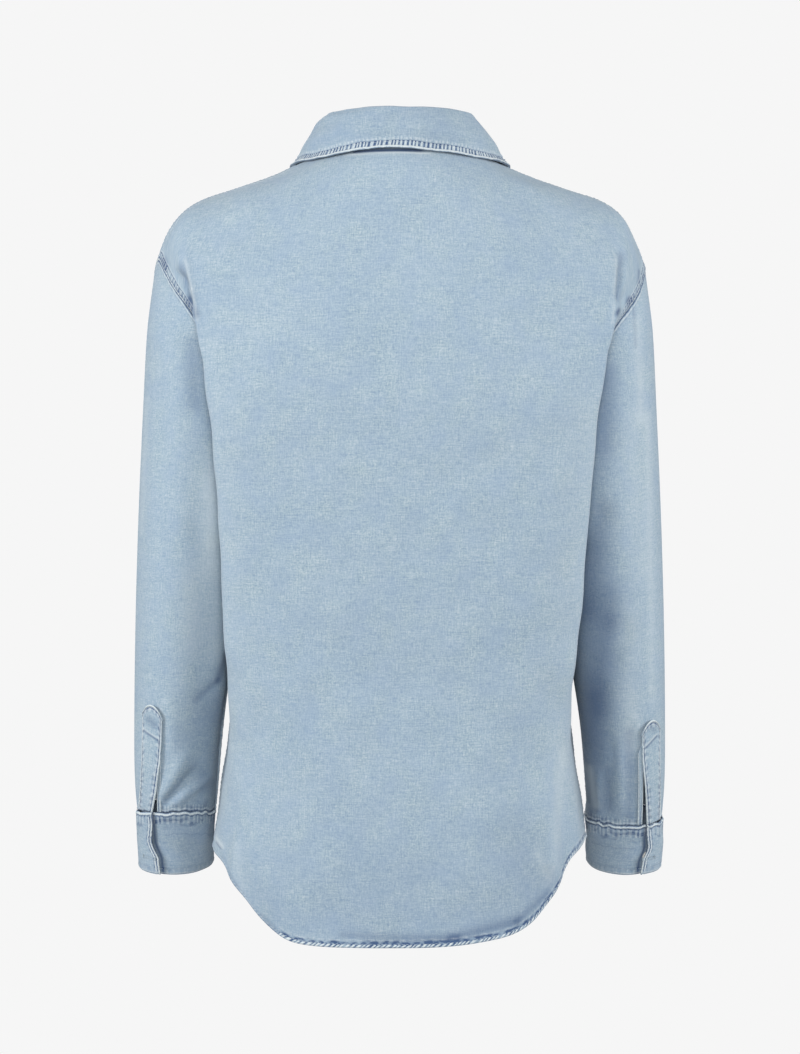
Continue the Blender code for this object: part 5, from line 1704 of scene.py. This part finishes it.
def joined(parts):
    """Several (points, faces) as one."""
    starts = np.cumsum([0] + [len(points) for points, _ in parts[:-1]])
    faces = [faces + start for start, (_, faces) in zip(starts, parts)]
    return np.concatenate([points for points, _ in parts]), np.concatenate(faces)


def button_mesh(material, thread):
    """A dished button with a raised rim, four holes and two crossing threads, its underside at z = 0."""
    thick = BUTTON_THICKNESS
    profile = BUTTON_RIM + [(share, BUTTON_DISH) for share in np.linspace(0.50, 0.0, 26)]
    turn = round_turn(BUTTON_SIDES)
    share, height = np.array(profile).T[..., None]
    out = BUTTON_RADIUS * share
    points = np.stack([out * np.cos(turn), out * np.sin(turn), height * thick + 0 * turn], axis=-1)
    to_hole = np.hypot(np.abs(points[..., 0]) - HOLE_AT, np.abs(points[..., 1]) - HOLE_AT)
    face = slice(len(BUTTON_RIM), None)
    in_hole = rise(to_hole[face], HOLE_RADIUS + 0.00006, HOLE_RADIUS - 0.00006)
    points[face, :, 2] -= HOLE_DEPTH * BUTTON_DISH * thick * in_hole
    parts = [(points.reshape(-1, 3), ring_faces(len(profile), BUTTON_SIDES)[:, ::-1])]
    reach = np.linspace(-1, 1, 13)
    for way in (1, -1):
        for aside in (-THREAD_ASIDE, THREAD_ASIDE):
            x, y = reach * HOLE_AT + aside, way * (reach * HOLE_AT - aside)
            path = np.stack([x, y, thick * (0.86 - 0.5 * reach**4)], axis=-1)
            parts.append(tube(path, UPRIGHT, THREAD_RADIUS))
    body = len(parts[0][1])
    points, faces = joined(parts)
    is_thread = (np.arange(len(faces)) >= body).astype(int)
    return mesh_object("button_body", points, faces, [material, thread], is_thread, smooth_angle=40)


def buttonhole(spot, along, normal):
    """The thread worked round a buttonhole: a narrow closed loop on the cloth, and bars at its ends."""
    along, normal = unit(np.array(along, float)), unit(np.array(normal, float))
    aside = np.cross(normal, along)
    turn = round_turn(48)
    reach = np.sign(np.cos(turn)) * (HOLE_LENGTH / 2 - HOLE_HALF) + HOLE_HALF * np.cos(turn)
    loop = spot + reach[:, None] * along + HOLE_HALF * np.sin(turn)[:, None] * aside
    parts = [tube(loop, normal, HOLE_THREAD, closed=True)]
    for end in (-1, 1):
        bar = spot + end * HOLE_LENGTH / 2 * along + np.linspace(-1.5, 1.5, 5)[:, None] * HOLE_HALF * aside
        parts.append(tube(bar, normal, HOLE_BAR))
    return joined(parts)


def place(name, mesh, spot, normal, up):
    """Puts a mesh's underside on a spot of cloth."""
    normal = unit(np.array(normal, float))
    across = unit(np.cross(up, normal))
    frame_of = np.eye(4)
    frame_of[:3, :3] = np.stack([across, np.cross(normal, across), normal], axis=1)
    frame_of[:3, 3] = spot
    made = linked(name, mesh)
    made.matrix_world = Matrix(frame_of.tolist())
    return made


def nearest_on(cloth, spot):
    """The cloth's nearest place to a spot, and its normal."""
    away = np.linalg.norm(cloth.points - spot, axis=-1)
    at = np.unravel_index(np.argmin(away), away.shape)
    normal = cloth.normals()[at]
    return spot - normal * ((spot - cloth.points[at]) @ normal), normal


def buttons(cloths, mesh):
    """The front's, the collar's and the cuffs' buttons, and their buttonholes."""
    made, holes = [], []
    for k, z in enumerate(np.linspace(FIRST_BUTTON_Z, LAST_BUTTON_Z, FRONT_BUTTONS)):
        q = np.array([height_to_q(z)])
        for _ in range(HEIGHT_TRIES):
            q = q - (torso(np.zeros(1), q, False)[0, 2] - z) / SPLINE_STEP
        spot, normal = nearest_on(cloths["button_band"], torso(np.zeros(1), q, False)[0])
        made.append(place(f"front_button_{k + 1}", mesh, spot + normal * BUTTON_CLEAR, normal, UPRIGHT))
        upward = UPRIGHT - normal * (UPRIGHT @ normal)
        holes.append(buttonhole(spot + HOLE_ASIDE * upward, upward, normal))
    low, spot, high = stand_points(np.full(3, -180.0), np.array([0.0, 0.5, 1.0]))
    normal = unit(np.cross([1.0, 0, 0], unit(high - low)))
    made.append(place("collar_button", mesh, spot + normal * BUTTON_CLEAR, normal, UPRIGHT))
    holes.append(buttonhole(spot - np.array([HOLE_ASIDE, 0, 0]), (1, 0, 0), normal))
    for side, name in ((1, "left"), (-1, "right")):
        at = np.array([sum(CUFF_EDGE[side]) / 2 - CUFF_BUTTON_BACK])
        down = CUFF_BUTTON_DOWN + np.array([0, 0.1, 0])
        spot, below, beside = wrist(side, at + np.array([0, 0, 2]), down, np.full(3, CUFF_PROUD + 3 * GAP))
        normal = side * np.cross(beside - spot, spot - below)
        made.append(place(f"cuff_button_{name}", mesh, spot, normal, UPRIGHT))
        over, normal = nearest_on(cloths[f"cuff_{name}"], spot + unit(normal) * 2 * CUFF_LIFT_BELOW)
        holes.append(buttonhole(over, beside - spot, normal))
    return made, holes


# Materials.


def linear(red, green, blue):
    """A colour given as it shows on a screen, from 0 to 255, as Blender's linear colour."""
    shown = np.array([red, green, blue]) / 255
    value = np.where(shown <= 0.04045, shown / 12.92, ((shown + 0.055) / 1.055) ** 2.4)
    return (*map(float, value), 1.0)


LIGHT_WASH = linear(179, 199, 210)
PALE_YARN = linear(218, 230, 236)
DARK_YARN = linear(133, 161, 187)
BLUER = linear(161, 184, 211)
# Stains, blue patches and painted shade darken towards this blue.
DEEP_BLUE = linear(72, 98, 138)
# Worn ridges and painted light pale towards this white.
WORN_AND_LIT = linear(234, 243, 245)
INSIDE = linear(190, 204, 214)
THREAD = linear(172, 188, 200)
PEARL = linear(226, 222, 214)


class Graph:
    """A material's nodes. Inputs are numbers, colours, vectors or other nodes' sockets."""

    def __init__(self, name):
        self.material = bpy.data.materials.new(name)
        self.material.use_nodes = True
        self.tree = self.material.node_tree
        self.shader = self.tree.nodes["Principled BSDF"]

    def shade(self, **inputs):
        """Sets the shader's inputs, whose names have spaces in place of _."""
        for name, value in inputs.items():
            self.plug(self.shader.inputs[name.replace("_", " ")], value)

    def node(self, kind, inputs=(), **settings):
        made = self.tree.nodes.new("ShaderNode" + kind)
        for key, value in settings.items():
            setattr(made, key, value)
        for key, value in dict(inputs).items():
            self.plug(made.inputs[key], value)
        return made

    def plug(self, socket, value):
        if isinstance(value, bpy.types.NodeSocket):
            self.tree.links.new(value, socket)
        else:
            socket.default_value = value

    def math(self, operation, a, b=0.0, clamp=False):
        return self.node("Math", {0: a, 1: b}, operation=operation, use_clamp=clamp).outputs[0]

    def add(self, *values):
        total = values[0]
        for value in values[1:]:
            total = self.math("ADD", total, value)
        return total

    def times(self, a, b):
        return self.math("MULTIPLY", a, b)

    def attribute(self, name):
        return self.node("Attribute", attribute_name=name).outputs["Fac"]

    def flat(self, per_metre_across, per_metre_up, slant=0.0):
        """The cloth's own coordinates, scaled: how many features there are for each metre across and up."""
        place = self.node("UVMap", uv_map=CLOTH_MAP).outputs["UV"]
        inputs = {"Vector": place, "Rotation": (0, 0, slant), "Scale": (per_metre_across, per_metre_up, 1)}
        return self.node("Mapping", inputs, vector_type="POINT").outputs["Vector"]

    def noise(self, vector, detail=2.0, roughness=0.5, strength=1.0):
        """Noise about zero; its spread is about a tenth of the strength."""
        inputs = {"Vector": vector, "Scale": 1.0, "Detail": detail, "Roughness": roughness}
        found = self.node("TexNoise", inputs, noise_dimensions="2D").outputs[0]
        return self.times(self.math("SUBTRACT", found, 0.5), strength)

    def smoothed(self, value, start, end):
        """0 before start and 1 past end, or the other way round."""
        inputs = {"Value": value, "From Min": start, "From Max": end}
        return self.node("MapRange", inputs, interpolation_type="SMOOTHSTEP").outputs[0]

    def bell(self, value, at, wide):
        """1 at that value, and near 0 beyond twice that width from it."""
        share = self.times(self.math("SUBTRACT", value, at), 1 / wide)
        return self.math("EXPONENT", self.times(self.times(share, share), -1.0))

    def noise_along(self, value, length, strength=1.0):
        """Noise about zero that changes over that length."""
        inputs = {"W": self.times(value, 1 / length), "Scale": 1.0, "Detail": 1.5}
        found = self.node("TexNoise", inputs, noise_dimensions="1D").outputs[0]
        return self.times(self.math("SUBTRACT", found, 0.5), strength)

    def wave(self, value, period, jitter):
        """-1 to 1 along a seam, at about that period."""
        even = self.times(value, 2 * math.pi / period)
        return self.math("SINE", self.add(even, self.noise_along(value, 3.1 * period, jitter)))

    def mix(self, factor, a, b):
        """Colour a where the factor is 0, and b where it is 1."""
        made = self.node("Mix", data_type="RGBA")
        self.plug(made.inputs[0], factor)
        self.plug(made.inputs[6], a)
        self.plug(made.inputs[7], b)
        return made.outputs[2]


def darker(colour, share):
    """That share of a colour's brightness, with an alpha of 1."""
    return tuple(part * share for part in colour[:3]) + (1.0,)


def seam_tones(g, seam):
    """How pale and how dark a seam is at each place, and how high it stands."""
    place = g.node("SeparateXYZ", {0: g.node("UVMap", uv_map=SEAM_MAP).outputs["UV"]}).outputs
    along, away = g.times(place[0], 1 / MM), g.times(place[1], 1 / MM)
    wobble, length = seam["wobble"]
    strayed = g.noise_along(along, length, 4 * wobble), g.noise_along(along, length / 4, 1.5 * wobble)
    away = g.add(away, *strayed)
    pale, dark = [], []
    for at, wide, shade, dash, period in seam["lines"]:
        line = g.bell(away, at, wide)
        broken = g.add(g.times(g.wave(g.add(along, at * 7), period, 7.0), 0.5 * dash), 1 - 0.5 * dash)
        (pale if shade > 0 else dark).append(g.times(g.times(line, broken), abs(shade)))
    start, end, period, slant, teeth_dark, teeth_pale, patchy = seam["teeth"]
    window = g.times(g.smoothed(away, start - 0.5, start + 0.4), g.smoothed(away, end + 0.5, end - 0.4))
    wave = g.wave(g.add(along, g.times(away, slant)), period, 9.0)
    uneven = g.math("ADD", g.noise_along(along, 2.6 * period, 4 * patchy), 1 - 0.6 * patchy, clamp=True)
    tooth = g.smoothed(wave, -0.35, 0.75)
    gap = g.smoothed(wave, 0.45, -0.55)
    dark.append(g.times(g.times(g.times(window, tooth), uneven), teeth_dark))
    pale.append(g.times(g.times(window, gap), teeth_pale))
    start, end, size, strength = seam["patches"]
    window = g.times(g.smoothed(away, start - 1, start + 1), g.smoothed(away, end, (start + end) / 2))
    spot = {0: g.times(along, 1 / size), 1: g.times(away, 2.2 / size), 2: 0.0}
    cloudy = g.smoothed(g.noise(g.node("CombineXYZ", spot).outputs[0], 2, 0.5), -0.02, 0.16)
    blue = g.times(g.times(window, cloudy), strength)
    pale, dark = g.add(*pale), g.add(*dark)
    return pale, g.add(dark, blue), g.math("SUBTRACT", pale, dark)


def denim(name, base, seam=None):
    """Light-wash denim: heathered yarns both ways, clouds of blue, pale worn ridges, dark seams, and painted
    shade and painted highlights.
    """
    g = Graph(name)
    weave = {name: g.noise(g.flat(across, up), *rest) for name, (across, up, *rest) in WEAVE.items()}
    warp, weft, speck = (weave[name] for name in ("warp", "weft", "speck"))
    tone = g.add(*weave.values())
    blue = g.noise(g.flat(*BLUE[:2]), *BLUE[2:])
    ramp = g.node("ValToRGB", {"Fac": g.add(tone, 0.5)})
    ramp.color_ramp.elements[0].color = darker(DARK_YARN, ALBEDO)
    ramp.color_ramp.elements[1].color = darker(PALE_YARN, ALBEDO)
    ramp.color_ramp.elements.new(0.5).color = darker(base, ALBEDO)
    colour = g.mix(g.math("ADD", blue, 0.3, clamp=True), ramp.outputs["Color"], darker(BLUER, ALBEDO))
    # The cloth's stains, wear and darker pieces, with its painted shade and painted highlights.
    pale, deep = g.attribute("fade"), g.attribute("deep")
    height = g.add(g.times(warp, 1.3), g.times(weft, 1.3), speck)
    if seam:
        more_pale, more_deep, stands = seam_tones(g, seam)
        grain = g.add(g.times(warp, 1.6), g.times(weft, 1.6), g.times(speck, 1.6), 1.0)
        pale = g.add(pale, g.times(more_pale, grain))
        deep = g.add(deep, g.times(more_deep, grain))
        height = g.add(height, g.times(stands, SEAM_HEIGHT))
    # Darker for stains and painted shade, paler for wear and painted light.
    colour = g.mix(g.math("MULTIPLY", deep, DEEP_SHARE, clamp=True), colour, darker(DEEP_BLUE, ALBEDO))
    colour = g.mix(g.math("MULTIPLY", pale, PALE_SHARE, clamp=True), colour, darker(WORN_AND_LIT, ALBEDO))
    g.shade(Base_Color=colour, Roughness=0.92, Specular_IOR_Level=0.22)
    g.shade(Sheen_Weight=0.10, Sheen_Roughness=0.6)
    ribs = g.node("TexWave", {"Vector": g.flat(1, 1, TWILL_SLANT), "Scale": TWILL}, wave_type="BANDS")
    height = g.add(height, g.times(ribs.outputs["Fac"], 0.25))
    bump = g.node("Bump", {"Strength": 0.35, "Distance": 0.0003, "Height": height})
    g.shade(Normal=bump.outputs["Normal"])
    return g.material


def plain(name, colour, roughness, specular=0.5):
    """A material of one colour."""
    g = Graph(name)
    g.shade(Base_Color=darker(colour, ALBEDO), Roughness=roughness, Specular_IOR_Level=specular)
    return g.material


# The studio.


def camera():
    """Level with the shirt's middle, behind it, with the whole shirt in view."""
    data = bpy.data.cameras.new("camera")
    made = linked("camera", data)
    made.location = (0.0, CAMERA_FAR, CAMERA_Z)
    made.rotation_euler = (math.radians(90), 0, math.radians(180))
    data.sensor_fit = "HORIZONTAL"
    data.sensor_width = SENSOR
    data.lens = SENSOR * (CAMERA_FAR - BACK_Y) / VIEW_WIDTH
    bpy.context.scene.camera = made


def area_light(name, spot, aim, size, power):
    """A round soft light at a spot, turned towards its aim."""
    data = bpy.data.lights.new(name, "AREA")
    data.shape = "DISK"
    data.size = size
    data.energy = power
    made = linked(name, data)
    made.location = spot
    made.rotation_euler = (Vector(aim) - Vector(spot)).to_track_quat("-Z", "Y").to_euler()


def studio():
    """A plain pale backdrop, soft lights all round and a pale floor."""
    world = bpy.data.worlds.new("studio")
    world.use_nodes = True
    nodes, links = world.node_tree.nodes, world.node_tree.links
    light = nodes["Background"]
    light.inputs["Color"].default_value = (*AMBIENT, 1)
    seen = nodes.new("ShaderNodeBackground")
    seen.inputs["Color"].default_value = (*BACKDROP, 1)
    path, mix = nodes.new("ShaderNodeLightPath"), nodes.new("ShaderNodeMixShader")
    links.new(path.outputs["Is Camera Ray"], mix.inputs[0])
    links.new(light.outputs[0], mix.inputs[1])
    links.new(seen.outputs[0], mix.inputs[2])
    links.new(mix.outputs[0], nodes["World Output"].inputs["Surface"])
    bpy.context.scene.world = world
    view = bpy.context.scene.view_settings
    view.view_transform = "Standard"
    view.look = "None"
    for name, spot, size, power in LIGHTS:
        area_light(name, spot, LIGHTS_AIM, size, power)
    rings = (0.001, 0.4, 0.8, FLOOR_RADIUS)
    points = [(r * math.cos(a), r * math.sin(a), FLOOR_Z) for r in rings for a in round_turn(FLOOR_SIDES)]
    floor = mesh_object("floor", points, ring_faces(len(rings), FLOOR_SIDES), [floor_material()])


def floor_material():
    """Matt white, fading out towards the floor's edge."""
    g = Graph("floor")
    g.shade(Base_Color=(0.86, 0.86, 0.86, 1), Roughness=1.0, Specular_IOR_Level=0.0)
    place = g.node("TexCoord").outputs["Object"]
    length = g.node("VectorMath", {0: place}, operation="LENGTH").outputs["Value"]
    ends = {"Value": length, "From Min": 0.55, "From Max": 1.15, "To Min": 1.0, "To Max": 0.0}
    g.shade(Alpha=g.node("MapRange", ends).outputs[0])
    return g.material


# Putting it together.


def main():
    """Cuts, sews and buttons the shirt, then sets up the studio."""
    outside, inside = denim("denim", LIGHT_WASH), denim("denim_inside", INSIDE)
    seam_looks = {name: denim(f"denim_{name}", LIGHT_WASH, seam) for name, seam in SEAMS.items()}
    thread = plain("thread", THREAD, 0.8, 0.2)
    pearl = plain("pearl", PEARL, 0.22)
    tree = dome()
    cloths = [back_panel(), *front_panels(), button_band(), collar_stand(), collar_leaf(tree)]
    for side, word in ((1, "left"), (-1, "right")):
        cloths += [sleeve(side, f"sleeve_{word}"), cuff(side, f"cuff_{word}")]
        cloths += [gauntlet(side, f"gauntlet_{word}"), binding(side, f"binding_{word}")]
    by_name = {cloth.name: cloth for cloth in cloths}
    sewn = sew(cloths, thread)
    for cloth, stitches in zip(cloths, sewn):
        node = cloth.name
        cloth.name = f"{node}_cloth"
        piece = wall_object(cloth, outside, inside, seam_looks)
        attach(piece, "root")
        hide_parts(node)
        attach(stitches, "root")
    body = button_mesh(pearl, thread)
    mesh = body.data
    bpy.data.objects.remove(body)
    made, holes = buttons(by_name, mesh)
    worked = mesh_object("buttonholes", *joined(holes), [thread])
    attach(worked, "root")
    nodes = [f"button_front_{k + 1}" for k in range(FRONT_BUTTONS)]
    nodes += ["button_collar", "button_cuff_left", "button_cuff_right"]
    for piece, node in zip(made, nodes):
        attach(piece, "root")
        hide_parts(node)
    camera()
    studio()


main()
